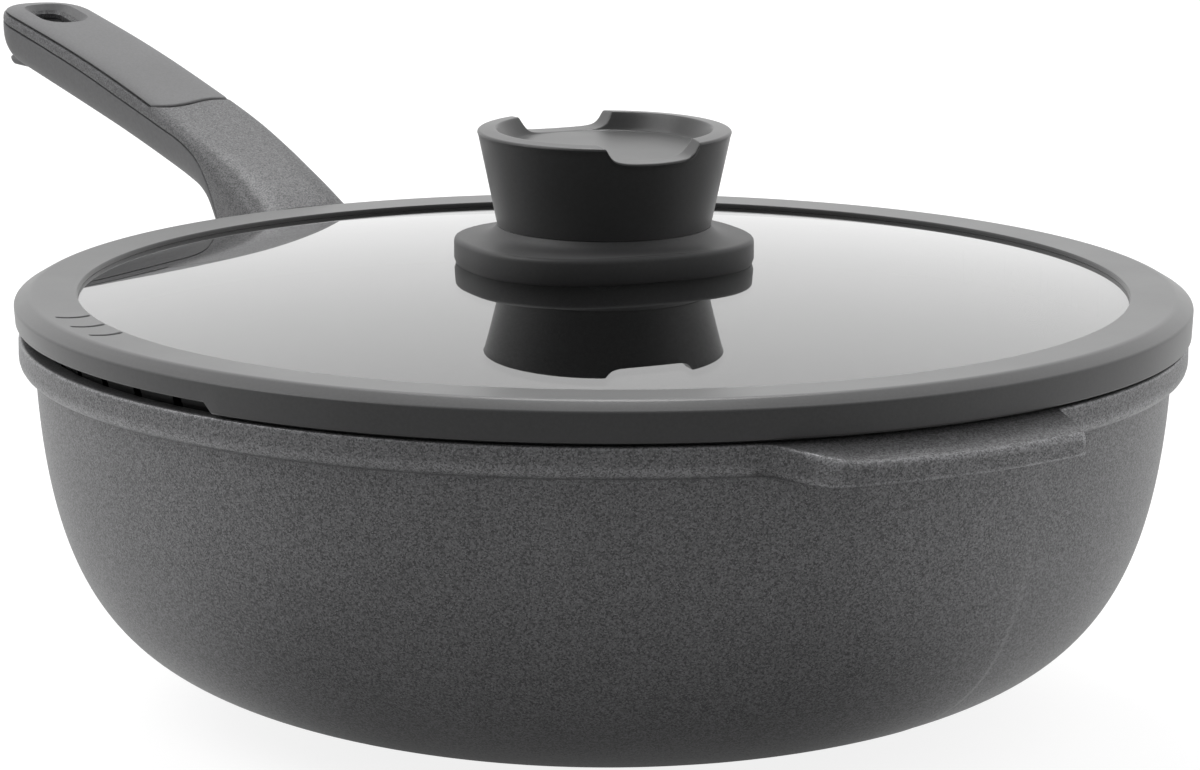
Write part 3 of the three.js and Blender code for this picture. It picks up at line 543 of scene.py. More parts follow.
def cup_surface(size, count=720):
    """Knob cup: a section carried round the axis, its top the lower of the rim and the spoon channel.

    The rim rises from the recessed floor up a slope and falls slightly to the outer edge. The channel
    is a trough across the lid's own x: flat, then turning up by a hyperbola to sloped sides.
    """
    turn = full_turn(count)[:, None]
    half = size.channel_width / 2 - 1
    slope = (size.cup_crest + 3 - size.cup_floor) / 3

    def channel(across):
        rise = (np.abs(across) - half) * slope
        return size.cup_floor + 0.1 + (rise + np.sqrt(rise ** 2 + 4.2 ** 2)) / 2 - 0.15

    def wall_radius(height):
        share = (height - size.cup_bottom) / (size.cup_edge - size.cup_bottom)
        return size.cup_foot_radius + (size.cup_radius - size.cup_foot_radius) * share

    brim = soft_min(np.full_like(turn, size.cup_edge), channel(size.cup_radius * np.cos(turn)), 0.5)
    share = np.concatenate([np.linspace(0, 0.73, 28)[:-1], np.linspace(0.73, 0.88, 36)[:-1],
                            np.linspace(0.88, 0.975, 14)[:-1], np.linspace(0.975, 1, 9)])
    radius = share * wall_radius(brim)
    tall = size.cup_crest - size.cup_floor
    rise = (radius - size.cup_floor_radius) / (size.cup_crest_radius - size.cup_floor_radius) * tall
    slant = (radius - size.cup_crest_radius) / (size.cup_radius - size.cup_crest_radius)
    crest = size.cup_crest + 0.1 - (size.cup_crest - size.cup_edge) * np.maximum(slant, 0)
    rim = soft_min(size.cup_floor + (rise + np.sqrt(rise ** 2 + 0.3)) / 2, crest, 0.5)
    top = soft_min(rim, np.maximum(channel(radius * np.cos(turn)), size.cup_floor), 0.25)
    top = np.maximum(top, size.cup_floor - 0.02)
    lip = np.clip((radius - wall_radius(brim)) / 0.7 + 1, 0, 1)
    top = np.minimum(top, brim + 0.6) - 0.55 * (1 - np.sqrt(1 - lip ** 2))
    wall = size.cup_bottom + 0.15 + np.linspace(1, 0, 30)[1:] * (top[:, -1:] - size.cup_bottom - 0.15)
    ceiling, on_glass = size.cup_floor - 4.5, size.glass_crown + CLEARANCE
    foot, low = size.cup_foot_radius, size.cup_bottom
    boss, stem, bore, bore_top = 9.4, 7.6, 4.5, 131.8
    bottom = repeated([(foot - 0.15, low), (foot - 3.9, low), (foot - 4.7, ceiling), (boss - 0.4, ceiling),
                       (boss, low), (stem, low), (stem, on_glass), (bore, on_glass), (bore, bore_top),
                       (0, bore_top)], count)
    shown = np.concatenate([np.stack([radius, top], -1), np.stack([wall_radius(wall), wall], -1)], axis=1)
    return rotated(turned(turn[:, 0], np.concatenate([shown, bottom], axis=1)), LID_TURN)


def foot_surface(size, count=240):
    """Knob foot: rows from a superellipse at the edge to a circle, rising to the cup exponentially."""
    turn = full_turn(count)
    power, fade, hole = 2.4, 1.7, 7.9
    across = np.abs(np.cos(turn) / size.foot_half_length) ** power
    along = np.abs(np.sin(turn) / size.foot_half_width) ** power
    oblong = (across + along) ** (-1 / power)
    top, foot, under_cup = size.foot_top, size.cup_foot_radius, size.cup_bottom - 0.05

    def on_glass(radius):
        return glass_top(size, radius) + 0.05

    flow = (1 - np.linspace(0, 1, 32) ** 1.6)[:, None]
    radius = foot + (oblong - 1.4 - foot) * flow
    rise = (under_cup - top) * (np.exp((foot - radius) / fade) - np.exp((foot - oblong) / fade))
    flat = np.stack([radius, top + rise], -1).transpose(1, 0, 2)
    parts = outline_parts([
        (hole, on_glass(hole)), (20, on_glass(20)), (oblong - 0.5, on_glass(oblong)),
        (oblong, top - 5.2), (oblong, top, 1.3),
        (foot + 3, top), (foot, under_cup), (hole, under_cup),
    ], count)
    return rotated(turned(turn, np.concatenate([*parts[:5], flat, *parts[6:]], axis=1)), LID_TURN)


def washer_surface(inner, outer, bottom, top, count=96):
    """Flat ring with slightly rounded corners."""
    corners = [(inner, bottom, 0.1), (outer, bottom, 0.2), (outer, top, 0.2), (inner, top, 0.1)]
    return turned(full_turn(count), np.concatenate(outline_parts(corners, count), axis=1))


def screw_surface(shaft, head, head_bottom, head_top, tip, count=96):
    """Pan-head screw, head down: a domed head with a cross recess, and a shaft with thread rings."""
    turn = full_turn(count)
    radius = np.broadcast_to(np.linspace(0, head, 26), (count, 26))
    x, y = radius * np.cos(turn)[:, None], radius * np.sin(turn)[:, None]
    tall = head_top - head_bottom
    arm, reach = head * 0.13, head * 0.55
    narrow = np.minimum(np.abs(x), np.abs(y))
    wide = np.maximum(np.abs(x), np.abs(y))
    cross = ((1 - smoothstep(narrow, arm * 0.7, arm * 1.3))
             * (1 - smoothstep(wide, reach * 0.9, reach * 1.1)))
    dome = tall * 0.6 * (1 - np.sqrt(1 - (radius / head) ** 2 * 0.96))
    face = np.stack([radius, head_bottom + dome + cross * tall * 0.4], -1)
    height = np.linspace(head_top, tip - 1, 80)
    deep, pitch = 0.12, 0.8
    thread = np.stack([shaft - deep + deep * np.cos(2 * math.pi * height / pitch), height], -1)
    stem = np.vstack([[(head, head_top)], thread, [(shaft * 0.6, tip), (0, tip)]])
    return turned(turn, np.concatenate([face, repeated(stem, count)], axis=1))


# Handle surfaces

def handle_height(reach, size):
    """Heights above and below the waist, eased down towards the rounded end."""
    past = np.clip((reach - (size.end - size.end_round)) / size.end_round, 0, 1)
    waist = WAIST_LINE(reach)
    above = (TOP_LINE(reach) - waist) * (1 - 0.5 * past ** 2)
    below = (waist - BOTTOM_LINE(reach)) * (1 - 0.34 * past ** 3)
    return waist, above, below


def handle_point(reach, turn, inset, size):
    """Skin of the handle: upright rings, superellipses of one power above the waist and one below it.

    The half width follows its line and closes at the end as a quarter ellipse. The turn is the
    direction of a point in its ring, with width and height taken as 1.
    """
    past = np.clip((reach - (size.end - size.end_round)) / size.end_round, 0, 1)
    half = np.maximum(HALF_WIDTH_LINE(reach) * np.sqrt(1 - past ** 2) - inset, 0)
    waist, above, below = handle_height(reach, size)
    c, s = np.cos(turn), np.sin(turn)
    power = np.where(s >= 0, POWER_ABOVE, POWER_BELOW)
    spread = (np.abs(c) ** power + np.abs(s) ** power) ** (-1 / power)
    tall = np.where(s >= 0, above, below) - np.minimum(inset, 0.5 * below)
    return np.stack([reach, c * spread * half, waist + s * spread * tall], -1)


def turn_at(share):
    """Turn whose point lies at a share of the height above (or, below zero, below) the waist."""
    power = np.where(share >= 0, POWER_ABOVE, POWER_BELOW)
    tall = np.clip(np.abs(share), 0, 0.999)
    return np.arctan2(np.sign(share) * tall, (1 - tall ** power) ** (1 / power))


def seam_turn(reach, shift, size):
    """Turn at which a ring meets the seam line moved up by the shift."""
    waist, above, below = handle_height(reach, size)
    rise = SEAM_LINE(reach) + shift - waist
    return turn_at(np.where(rise >= 0, rise / above, rise / below))


def handle_rows(size):
    """Reach of the rows: even along neck and grip, closing up on the pad's front and the rounded end."""
    bend = size.end - size.end_round
    neck = np.linspace(NECK_START, size.pad_front - 4, 88)[:-1]
    front = size.pad_front + np.array([-4, -2, -1, -0.5, -0.2])
    behind = size.pad_front + np.array([0.2, 0.5, 1, 2, 4])
    grip = np.linspace(size.pad_front + 4, bend, 78)[1:]
    tip = bend + size.end_round * np.sin(np.linspace(0, math.pi / 2, 30))[1:]
    return np.concatenate([neck, front]), np.concatenate([behind, grip, tip])


def pan_side(height, size):
    """Radius that the neck keeps clear of: the bowl wall plus a gap, stepping out past band and lid."""
    pan = millimetres(bpy.context.scene.wok_pan)
    curve = bezier([(pan.base_radius, pan.base_height), *OUTER_PULLS,
                    (pan.wall_top_radius, pan.band_foot)], 200)
    wall = np.interp(height, curve[:, 1], curve[:, 0]) + size.neck_gap
    return wall + (size.neck_face - wall) * smoothstep(height, pan.band_foot - 2.2, pan.band_foot - 0.4)


def against_pan(rows, turn, inset, size):
    """Move the first rows so that the neck starts on the pan's side, found by repeated substitution."""
    guess = 146.0
    start = np.full(turn.shape[1], guess)
    for _ in range(40):
        place = handle_point(start, turn[0], inset[0], size)
        wish = np.sqrt(pan_side(place[:, 2], size) ** 2 - place[:, 1] ** 2)
        start = start + 0.5 * (wish - start)
    share = np.clip((rows[:, None] - rows[0]) / (NECK_EASE - rows[0]), 0, 1)
    return np.where(rows[:, None] < NECK_EASE, start + (NECK_EASE - start) * share, rows[:, None])


def edge_roll(middle):
    """Shares across a strip with close columns at both ends, and how far those ends turn inwards."""
    close = np.array([0, 0.004, 0.012, 0.024])
    share = np.concatenate([close, np.linspace(0.04, 0.96, middle), 1 - close[::-1]])
    roll = np.concatenate([[0.8, 0.26, 0.06, 0], np.zeros(middle), [0, 0.06, 0.26, 0.8]])
    return share, roll


def lower_shell_surface(size):
    """Skin from seam to seam under the handle, closed straight across; its edges roll in at the seam."""
    rows = np.concatenate(handle_rows(size))
    share, roll = edge_roll(52)
    seam = seam_turn(rows, -SEAM_SHIFT, size)[:, None]
    turn = seam - (math.pi + 2 * seam) * share
    inset = np.broadcast_to(roll, turn.shape)
    reach = against_pan(rows, turn, inset, size)
    seam = seam_turn(reach, -SEAM_SHIFT, size)
    turn = seam - (math.pi + 2 * seam) * share
    return rotated(handle_point(reach, turn, inset, size), HANDLE_TURN)


def pad_sway(reach, side, size):
    """Shift of the pad's front edge: a sine wave across and an eighth power that rounds the corners.

    It fades along the handle as a bell curve.
    """
    share = np.clip(side / HALF_WIDTH_LINE(size.pad_front), -1, 1)
    shift = size.pad_corner * share ** 8 - size.pad_sway * np.sin(math.pi * share)
    return shift * np.exp(-((reach - size.pad_front) / 9) ** 2)


def upper_shell_surface(size):
    """Skin from seam to seam over the handle, closed straight across inside.

    Behind the pad's front edge the columns above the pad line drop to a floor that carries the pad.
    """
    before, behind = handle_rows(size)
    rows = np.concatenate([before, [size.pad_front] * 2, behind])
    sunk = np.arange(len(rows)) > len(before)
    share, roll = edge_roll(18)
    low, climb = 12, np.linspace(0.45, 1, 14)
    side_share = np.concatenate([share[:low], climb])
    side_roll = np.concatenate([roll[:low], np.zeros_like(climb)])
    over = np.linspace(0, 1, 61)[1:-1]
    n, wide = len(side_share), len(over)

    def turns(reach):
        seam = seam_turn(reach, SEAM_SHIFT, size)
        pad = turn_at(1 - (size.pad_thickness + SEAM) / (TOP_LINE(reach) - WAIST_LINE(reach)))
        right = seam[:, :n] + (pad[:, :n] - seam[:, :n]) * side_share
        top = pad[:, n:n + wide] + (math.pi - 2 * pad[:, n:n + wide]) * over
        left = math.pi - (seam[:, -n:] + (pad[:, -n:] - seam[:, -n:]) * side_share)[:, ::-1]
        return np.concatenate([right, top, left], axis=1)

    inset = np.concatenate([side_roll, np.zeros(wide), side_roll[::-1]])
    inset = np.broadcast_to(inset, (len(rows), len(inset)))
    reach = np.broadcast_to(rows[:, None], inset.shape)
    turn = turns(reach)
    reach = against_pan(rows, turn, inset, size)
    reach = reach + pad_sway(reach, handle_point(reach, turn, inset, size)[..., 1], size)
    turn = turns(reach)
    points = handle_point(reach, turn, inset, size)
    waist, above, _ = handle_height(reach, size)
    floor = waist + above * (1 - (size.pad_thickness + SEAM) / (TOP_LINE(reach) - waist))
    points[..., 2] = np.where(sunk[:, None], np.minimum(points[..., 2], floor), points[..., 2])
    return rotated(points, HANDLE_TURN)


def pad_surface(size):
    """Soft pad: the handle's skin above the pad line, over a nearly flat, narrower underside.

    The front edge sways across the handle, and all edges roll over by a few tenths of a millimetre.
    """
    _, behind = handle_rows(size)
    front = size.pad_front + 1.7 + np.array([0, 0.06, 0.18, 0.36, 0.6])
    rows = np.concatenate([front, behind[4:-2]])
    lowered = np.concatenate([[0.5, 0.28, 0.12, 0.03, 0], np.zeros(len(behind) - 6)])[:, None]
    share, roll = edge_roll(61)
    inset = np.broadcast_to(roll * 0.7, (len(rows), len(roll)))
    reach = np.broadcast_to(rows[:, None], inset.shape)
    thin = size.pad_thickness

    def line(at):
        waist, above, _ = handle_height(at, size)
        return waist + above * (1 - thin / (TOP_LINE(at) - waist)), waist

    def turns(at):
        pad = turn_at(1 - thin / (TOP_LINE(at) - line(at)[1]))
        return pad + (math.pi - 2 * pad) * share

    reach = reach + pad_sway(reach, handle_point(reach, turns(reach), inset, size)[..., 1], size)
    points = handle_point(reach, turns(reach), inset, size)
    points[..., 2] -= lowered
    bottom = points[:, -5:3:-1] * [1, 0.93, 1]
    rest = SEAM - 0.02 - 0.13 * smoothstep(np.abs(2 * share - 1)[4:-4], 0.8, 0.9)
    bottom[..., 2] = np.minimum(line(bottom[..., 0])[0] - rest, bottom[..., 2] - 0.15)
    return rotated(np.concatenate([points, bottom], axis=1), HANDLE_TURN)


def lean(reach):
    """Slope angle of the handle's top line, from its heights a millimetre either way."""
    return math.atan(float(TOP_LINE(reach + 1.0) - TOP_LINE(reach - 1.0)) / 2)


def under_top(points, reach):
    """Points drawn about z = 0, set square under the handle's top line at a reach."""
    tilt = lean(reach)
    c, s = math.cos(tilt), math.sin(tilt)
    x = points[..., 0] * c - points[..., 2] * s + reach
    z = points[..., 0] * s + points[..., 2] * c + float(TOP_LINE(float(reach)))
    return rotated(np.stack([x, points[..., 1], z], -1), HANDLE_TURN)


def slot_cutter(size, count=72):
    """Body of the hang slot: a rectangle with round corners, growing evenly in the flare under the top."""
    turn = full_turn(count) + math.pi / count
    straight = np.stack([np.sign(np.cos(turn)) * (size.hang_half_length - size.hang_corner),
                         np.sign(np.sin(turn)) * (size.hang_half_width - size.hang_corner)], -1)
    round_corner = np.stack([np.cos(turn), np.sin(turn)], -1)
    flare, below, over = size.hang_flare, 40, 4
    rows = []
    for height, grow in ((-below, 0), (-flare, 0), (0, flare), (over, flare + over)):
        plan = straight + round_corner * (size.hang_corner + grow)
        rows.append(np.column_stack([plan, np.full(count, height)]))
    return skin("slot_cutter", under_top(np.stack(rows), size.hang_centre), loop_columns=True, caps=True)


def handle_depth(reach):
    """Depth of the handle, square to its top line."""
    return float(TOP_LINE(reach) - BOTTOM_LINE(reach)) * math.cos(lean(reach))


def screw_cutter(reach, count=48):
    """Round pocket in the lower shell for a screw head."""
    turn = full_turn(count)
    radius, deep, over = 3.6, 1.4, 10
    bottom = -handle_depth(reach)
    rows = np.stack([np.stack([radius * np.cos(turn), radius * np.sin(turn), np.full_like(turn, z)], -1)
                     for z in (bottom - over, bottom + deep)])
    return skin("screw_cutter", under_top(rows, reach), loop_columns=True, caps=True)


def lip_surface():
    """Small hooked lip under the handle's end, drawn across from its side outline."""
    corners = [(287, 122.6), (300.8, 122.4, 1.2), (303.4, 124.4, 1.2), (298, 127), (288, 125.2)]
    side = np.concatenate(outline_parts(corners, 1), axis=1)[0]
    return rotated(slab(side, 13, 1.5), HANDLE_TURN)


# Finishes

def add_node(tree, kind, inputs, **settings):
    """A shader node with its settings; an input given as a socket is linked, any other is set."""
    made = tree.nodes.new("ShaderNode" + kind)
    for key, value in settings.items():
        setattr(made, key, value)
    for key, value in inputs.items():
        if isinstance(value, bpy.types.NodeSocket):
            tree.links.new(value, made.inputs[key])
        else:
            made.inputs[key].default_value = value
    return made


def new_finish(name):
    """Empty node material with its shader and the piece's own object coordinates."""
    finish = bpy.data.materials.new(name)
    finish.use_nodes = True
    tree = finish.node_tree
    shader = tree.nodes["Principled BSDF"]
    place = tree.nodes.new("ShaderNodeTexCoord").outputs["Object"]
    return finish, tree, shader, place


def ramp(tree, value, low, high, start=0.0, end=1.0, kind="LINEAR"):
    """Carry a value from the range start to end onto low to high."""
    inputs = {"Value": value, "From Min": start, "From Max": end, "To Min": low, "To Max": high}
    return add_node(tree, "MapRange", inputs, interpolation_type=kind).outputs["Result"]


def joined(tree, first, second, operation="MULTIPLY"):
    """Two values put together, as a product where no other operation is named."""
    return add_node(tree, "Math", {0: first, 1: second}, operation=operation).outputs[0]


def scaled(tree, tint, factor):
    """A colour times a factor."""
    return add_node(tree, "VectorMath", {0: tint, "Scale": factor}, operation="SCALE").outputs[0]


def noise(tree, place, scale, detail=2, roughness=0.5):
    """Value of a noise pattern."""
    inputs = {"Vector": place, "Scale": scale, "Detail": detail, "Roughness": roughness}
    return add_node(tree, "TexNoise", inputs).outputs["Fac"]


def about_one(tree, pattern, less, more):
    """A factor that follows a noise pattern from its low to its high values."""
    return ramp(tree, pattern, less, more, 0.3, 0.7)


def from_axis(tree, place):
    """Distance from the upright axis, and height."""
    split = add_node(tree, "SeparateXYZ", {"Vector": place})
    flat = add_node(tree, "CombineXYZ", {"X": split.outputs["X"], "Y": split.outputs["Y"]})
    distance = add_node(tree, "VectorMath", {0: flat.outputs["Vector"]}, operation="LENGTH")
    return distance.outputs["Value"], split.outputs["Z"]


def dress(tree, shader, tint, rough, relief, strength, depth=0.0001):
    """Link a colour, a roughness and a relief to the shader."""
    raised = add_node(tree, "Bump", {"Height": relief, "Strength": strength, "Distance": depth})
    tree.links.new(tint, shader.inputs["Base Color"])
    tree.links.new(rough, shader.inputs["Roughness"])
    tree.links.new(raised.outputs["Normal"], shader.inputs["Normal"])


def speckled_finish(name, base, flake, roughness, metallic, grain, edge=1.0):
    """Baked coat: cells of the given size in mm, each with its own shade and some of them light flakes.

    On sharp outer edges the ground is lighter by the edge factor: a painted highlight, which also stands
    for the thinner coat there.
    """
    finish, tree, shader, place = new_finish(name)
    cells = add_node(tree, "TexVoronoi", {"Vector": place, "Scale": 1 / (grain * MM)})
    pick = add_node(tree, "SeparateColor", {"Color": cells.outputs["Color"]})
    chosen = ramp(tree, pick.outputs["Red"], 0, 1, 0.7)
    near = ramp(tree, cells.outputs["Distance"], 0, 1, 0.5, 0.2)
    fine = noise(tree, place, 1900, 3, 0.6)
    shade = joined(tree, ramp(tree, pick.outputs["Green"], 0.45, 1.55),
                   about_one(tree, noise(tree, place, 28), 0.95, 1.05))
    # painted highlight: the ground is lighter where the mesh is sharply convex
    if edge > 1:
        bend = tree.nodes.new("ShaderNodeNewGeometry").outputs["Pointiness"]
        shade = joined(tree, shade, ramp(tree, bend, 1, edge, 0.508, 0.53))
    mixed = add_node(tree, "Mix", {0: joined(tree, chosen, near), 6: scaled(tree, base, shade),
                                   7: (*flake, 1)}, data_type="RGBA")
    rough = ramp(tree, fine, roughness - 0.08, roughness + 0.08)
    dress(tree, shader, mixed.outputs[2], rough, fine, 0.3)
    shader.inputs["Metallic"].default_value = metallic
    return finish


def painted_shade(tree, place, radius, height, least):
    """Painted shade: 1 outside a radius or above a height, both in metres, and a lower value within both,
    by which the colour is darkened.
    """
    reach, level = from_axis(tree, place)
    soft = 0.0003
    either = joined(tree, ramp(tree, reach, 0, 1, radius - soft, radius),
                    ramp(tree, level, 0, 1, height - soft, height), "MAXIMUM")
    return ramp(tree, either, least, 1)


def moulded_finish(name, base, roughness, specular, grain=900, sheen=0.0, inner=()):
    """Moulded plastic or soft rubber: fine matt grain with a faint cloud in its colour and gloss.

    Each entry of inner is a radius and height within which the colour is darkened as painted shade, and by
    how much.
    """
    finish, tree, shader, place = new_finish(name)
    fine = noise(tree, place, grain, 4, 0.65)
    cloud = noise(tree, place, 45)
    shade = joined(tree, about_one(tree, fine, 0.9, 1.1), about_one(tree, cloud, 0.95, 1.05))
    # painted shade: the colour is darkened within each radius and height of inner
    for limits in inner:
        shade = joined(tree, shade, painted_shade(tree, place, *limits))
    rough = ramp(tree, cloud, roughness - 0.06, roughness + 0.06)
    dress(tree, shader, scaled(tree, base, shade), rough, fine, 0.07)
    shader.inputs["Specular IOR Level"].default_value = specular
    shader.inputs["Sheen Weight"].default_value = sheen
    return finish


def metal_finish(name, base, roughness, spun=False):
    """Bare metal with fine turning lines: noise read by radius for a spun disc, or along the height."""
    finish, tree, shader, place = new_finish(name)
    along = (from_axis(tree, place)[0] if spun
             else add_node(tree, "SeparateXYZ", {"Vector": place}).outputs["Z"])
    lines = add_node(tree, "TexNoise", {"W": along, "Scale": 1800, "Detail": 3},
                     noise_dimensions="1D").outputs["Fac"]
    rough = ramp(tree, noise(tree, place, 60), roughness - 0.08, roughness + 0.08)
    dress(tree, shader, scaled(tree, base, about_one(tree, lines, 0.85, 1.1)), rough, lines, 0.15, 0.00005)
    shader.inputs["Metallic"].default_value = 1
    return finish


def glass_finish(name, tint):
    """Smoked toughened glass: smooth and polished, its tint changing slightly over some centimetres."""
    finish, tree, shader, place = new_finish(name)
    smoke = scaled(tree, tint, about_one(tree, noise(tree, place, 30), 0.97, 1.03))
    tree.links.new(smoke, shader.inputs["Base Color"])
    settings = {"Roughness": 0, "Transmission Weight": 1, "IOR": 1.5, "Coat Weight": 1,
                "Coat Roughness": 0.01}
    for socket, value in settings.items():
        shader.inputs[socket].default_value = value
    return finish


# Stage

def make_lamp(name, place, width, watts):
    """Round lamp that faces the aim."""
    lamp = bpy.data.lights.new(name, "AREA")
    lamp.shape = "DISK"
    lamp.size = width
    lamp.energy = watts
    stand = bpy.data.objects.new(name, lamp)
    back = Vector(place) - AIM
    stand.matrix_world = Matrix.Translation(place) @ back.to_track_quat("Z", "Y").to_matrix().to_4x4()
    bpy.context.scene.collection.objects.link(stand)


def make_camera(scene):
    """Long lens on the photograph's line of sight, rolled and shifted slightly to its framing."""
    out = Vector((math.cos(CAMERA_TURN) * math.cos(CAMERA_RISE),
                  math.sin(CAMERA_TURN) * math.cos(CAMERA_RISE), math.sin(CAMERA_RISE)))
    lens = bpy.data.cameras.new("camera")
    lens.lens = CAMERA_LENS
    lens.sensor_width = 36
    lens.shift_x = SHIFT_PIXELS / IMAGE_WIDTH
    camera = bpy.data.objects.new("camera", lens)
    look = (-out).to_track_quat("-Z", "Y").to_matrix().to_4x4()
    camera.matrix_world = (Matrix.Translation(AIM + out * CAMERA_FAR) @ look
                           @ Matrix.Rotation(CAMERA_ROLL, 4, "Z"))
    scene.collection.objects.link(camera)
    scene.camera = camera


def seen_directly(tree):
    """1 for rays that should meet the plain white surround: camera, glossy and transmission rays."""
    path = tree.nodes.new("ShaderNodeLightPath").outputs
    either = joined(tree, path["Is Camera Ray"], path["Is Glossy Ray"], "MAXIMUM")
    return joined(tree, either, path["Is Transmission Ray"], "MAXIMUM"), path


def facing_front(tree, way, rise):
    """How far a direction turns to the dark side of the studio, as a cosine."""
    front = Vector((math.cos(DARK_TURN), math.sin(DARK_TURN), rise)).normalized()
    return add_node(tree, "VectorMath", {0: way, 1: front}, operation="DOT_PRODUCT").outputs["Value"]


def either_of(tree, choice, first, second):
    """The first value where the choice is 0, the second where it is 1."""
    return add_node(tree, "Mix", {0: choice, 2: first, 3: second}, data_type="FLOAT").outputs[0]


def make_surround(scene):
    """White surround whose light falls off towards the camera's side of the studio."""
    scene.world = bpy.data.worlds.new("studio")
    scene.world.use_nodes = True
    tree = scene.world.node_tree
    tree.nodes.clear()
    way = tree.nodes.new("ShaderNodeTexCoord").outputs["Generated"]
    facing = facing_front(tree, way, DARK_RISE)
    soft = ramp(tree, facing, 1.4, 0.08, 0.15, 0.8, "SMOOTHSTEP")
    mirror = ramp(tree, facing, 1.0, 0.35, 0.05, 0.65, "SMOOTHSTEP")
    direct, path = seen_directly(tree)
    seen = either_of(tree, path["Is Glossy Ray"], 1.0, mirror)
    light = add_node(tree, "Background", {"Color": (1, 1, 1, 1),
                                          "Strength": either_of(tree, direct, soft, seen)})
    end = tree.nodes.new("ShaderNodeOutputWorld")
    tree.links.new(light.outputs[0], end.inputs["Surface"])


def make_floor():
    """Pale floor: a large disc that keeps the shadow, with a glow that the lamps needn't give.

    Seen from below it is clear.
    """
    radius = np.concatenate([[0], np.geomspace(0.05, 6, 40)]) / MM
    section = repeated(np.stack([radius, np.full_like(radius, -FLOOR_DROP)], -1), 96)
    floor = skin("floor", turned(full_turn(96), section), loop_rows=True)
    floor.data.flip_normals()  # an open disc below the origin comes out face down
    finish = bpy.data.materials.new("pale_floor")
    finish.use_nodes = True
    tree = finish.node_tree
    tree.nodes.clear()
    place = tree.nodes.new("ShaderNodeTexCoord").outputs["Object"]
    matt = add_node(tree, "BsdfDiffuse", {"Color": ramp(tree, noise(tree, place, 20), 0.27, 0.3)})
    way = add_node(tree, "VectorMath", {0: place}, operation="NORMALIZE").outputs["Vector"]
    mirror = ramp(tree, facing_front(tree, way, 0), 0.6, 0.2, 0.3, 0.9, "SMOOTHSTEP")
    direct, path = seen_directly(tree)
    glow = joined(tree, direct, either_of(tree, path["Is Glossy Ray"], 0.85, mirror))
    light = add_node(tree, "Emission", {"Color": (1, 1, 1, 1), "Strength": glow})
    both = add_node(tree, "AddShader", {0: matt.outputs[0], 1: light.outputs[0]})
    back = tree.nodes.new("ShaderNodeNewGeometry").outputs["Backfacing"]
    clear = tree.nodes.new("ShaderNodeBsdfTransparent")
    seen = add_node(tree, "MixShader", {0: joined(tree, back, path["Is Camera Ray"]), 1: both.outputs[0],
                                        2: clear.outputs[0]})
    end = tree.nodes.new("ShaderNodeOutputMaterial")
    tree.links.new(seen.outputs[0], end.inputs["Surface"])
    floor.data.materials.append(finish)


# Operators

class WOK_OT_pan(bpy.types.Operator):
    """Make the cast pan with its band, helper tab and lug"""
    bl_idname = "wok.pan"
    bl_label = "Pan"

    def execute(self, context):
        size = millimetres(context.scene.wok_pan)
        tone = context.scene.wok_colours
        # edge=1.9 paints a highlight along the sharp edges of the band and tab
        coat = speckled_finish("speckled_coat", tone.pan_coat, tone.pan_flake, roughness=0.4,
                               metallic=0.45, grain=0.34, edge=1.9)
        pan = skin("pan", pan_surface(size), loop_rows=True)
        settle(pan, coat, "pan", "speckled_coat", "pan_body")
        lug = skin("pan_lug", rotated(lug_surface(), HANDLE_TURN), loop_columns=True, caps=True)
        settle(lug, coat, "pan", "speckled_coat", "pan_body")
        return {"FINISHED"}


class WOK_OT_base_plate(bpy.types.Operator):
    """Make the spun steel disc in the base"""
    bl_idname = "wok.base_plate"
    bl_label = "Base plate"

    def execute(self, context):
        size = millimetres(context.scene.wok_pan)
        steel = metal_finish("spun_steel", context.scene.wok_colours.steel, roughness=0.34, spun=True)
        plate = skin("base_disc", plate_surface(size), loop_rows=True)
        settle(plate, steel, "pan", "base_steel", "base_plate")
        return {"FINISHED"}


class WOK_OT_handle(bpy.types.Operator):
    """Make the two shells of the handle and the lip under its end"""
    bl_idname = "wok.handle"
    bl_label = "Handle shells"

    def execute(self, context):
        size = millimetres(context.scene.wok_handle)
        tone = context.scene.wok_colours
        coat = speckled_finish("handle_coat", tone.neck_coat, tone.neck_flake, roughness=0.46,
                               metallic=0.3, grain=0.3)
        cover = moulded_finish("cover_plastic", tone.cover, roughness=0.5, specular=0.35)
        upper = skin("handle_upper", upper_shell_surface(size), loop_columns=True, caps=True)
        settle(carve(upper, [slot_cutter(size)]), coat, "pan", "handle_coat", "handle_upper_shell")
        lower = skin("handle_lower", lower_shell_surface(size), loop_columns=True, caps=True)
        cutters = [slot_cutter(size), *(screw_cutter(reach) for reach in SCREW_REACHES)]
        settle(carve(lower, cutters), cover, "pan", "handle_plastic", "handle_lower_shell")
        lip = skin("handle_lip", lip_surface(), loop_columns=True, caps=True)
        settle(lip, cover, "pan", "handle_plastic", "handle_lower_shell")
        return {"FINISHED"}


class WOK_OT_grip_pad(bpy.types.Operator):
    """Make the soft pad in the top of the grip"""
    bl_idname = "wok.grip_pad"
    bl_label = "Grip pad"

    def execute(self, context):
        size = millimetres(context.scene.wok_handle)
        tone = context.scene.wok_colours
        soft = moulded_finish("grip_rubber", tone.pad, roughness=0.62, specular=0.35, grain=1400,
                              sheen=0.05)
        pad = skin("grip_pad", pad_surface(size), loop_columns=True, caps=True)
        settle(carve(pad, [slot_cutter(size)]), soft, "pan", "grip_rubber", "handle_grip_pad")
        return {"FINISHED"}


class WOK_OT_handle_screws(bpy.types.Operator):
    """Make the two screws under the grip"""
    bl_idname = "wok.handle_screws"
    bl_label = "Handle screws"

    def execute(self, context):
        steel = metal_finish("screw_steel", context.scene.wok_colours.steel, roughness=0.3)
        for number, reach in enumerate(SCREW_REACHES, 1):
            seat = 1.1 - handle_depth(reach)
            points = screw_surface(shaft=1.4, head=3, head_bottom=seat - 1.8, head_top=seat, tip=-3.6)
            screw = skin(f"shell_screw_{number}_turned", under_top(points, reach), loop_rows=True)
            settle(screw, steel, "pan", "fixing_steel", f"shell_screw_{number}")
        return {"FINISHED"}


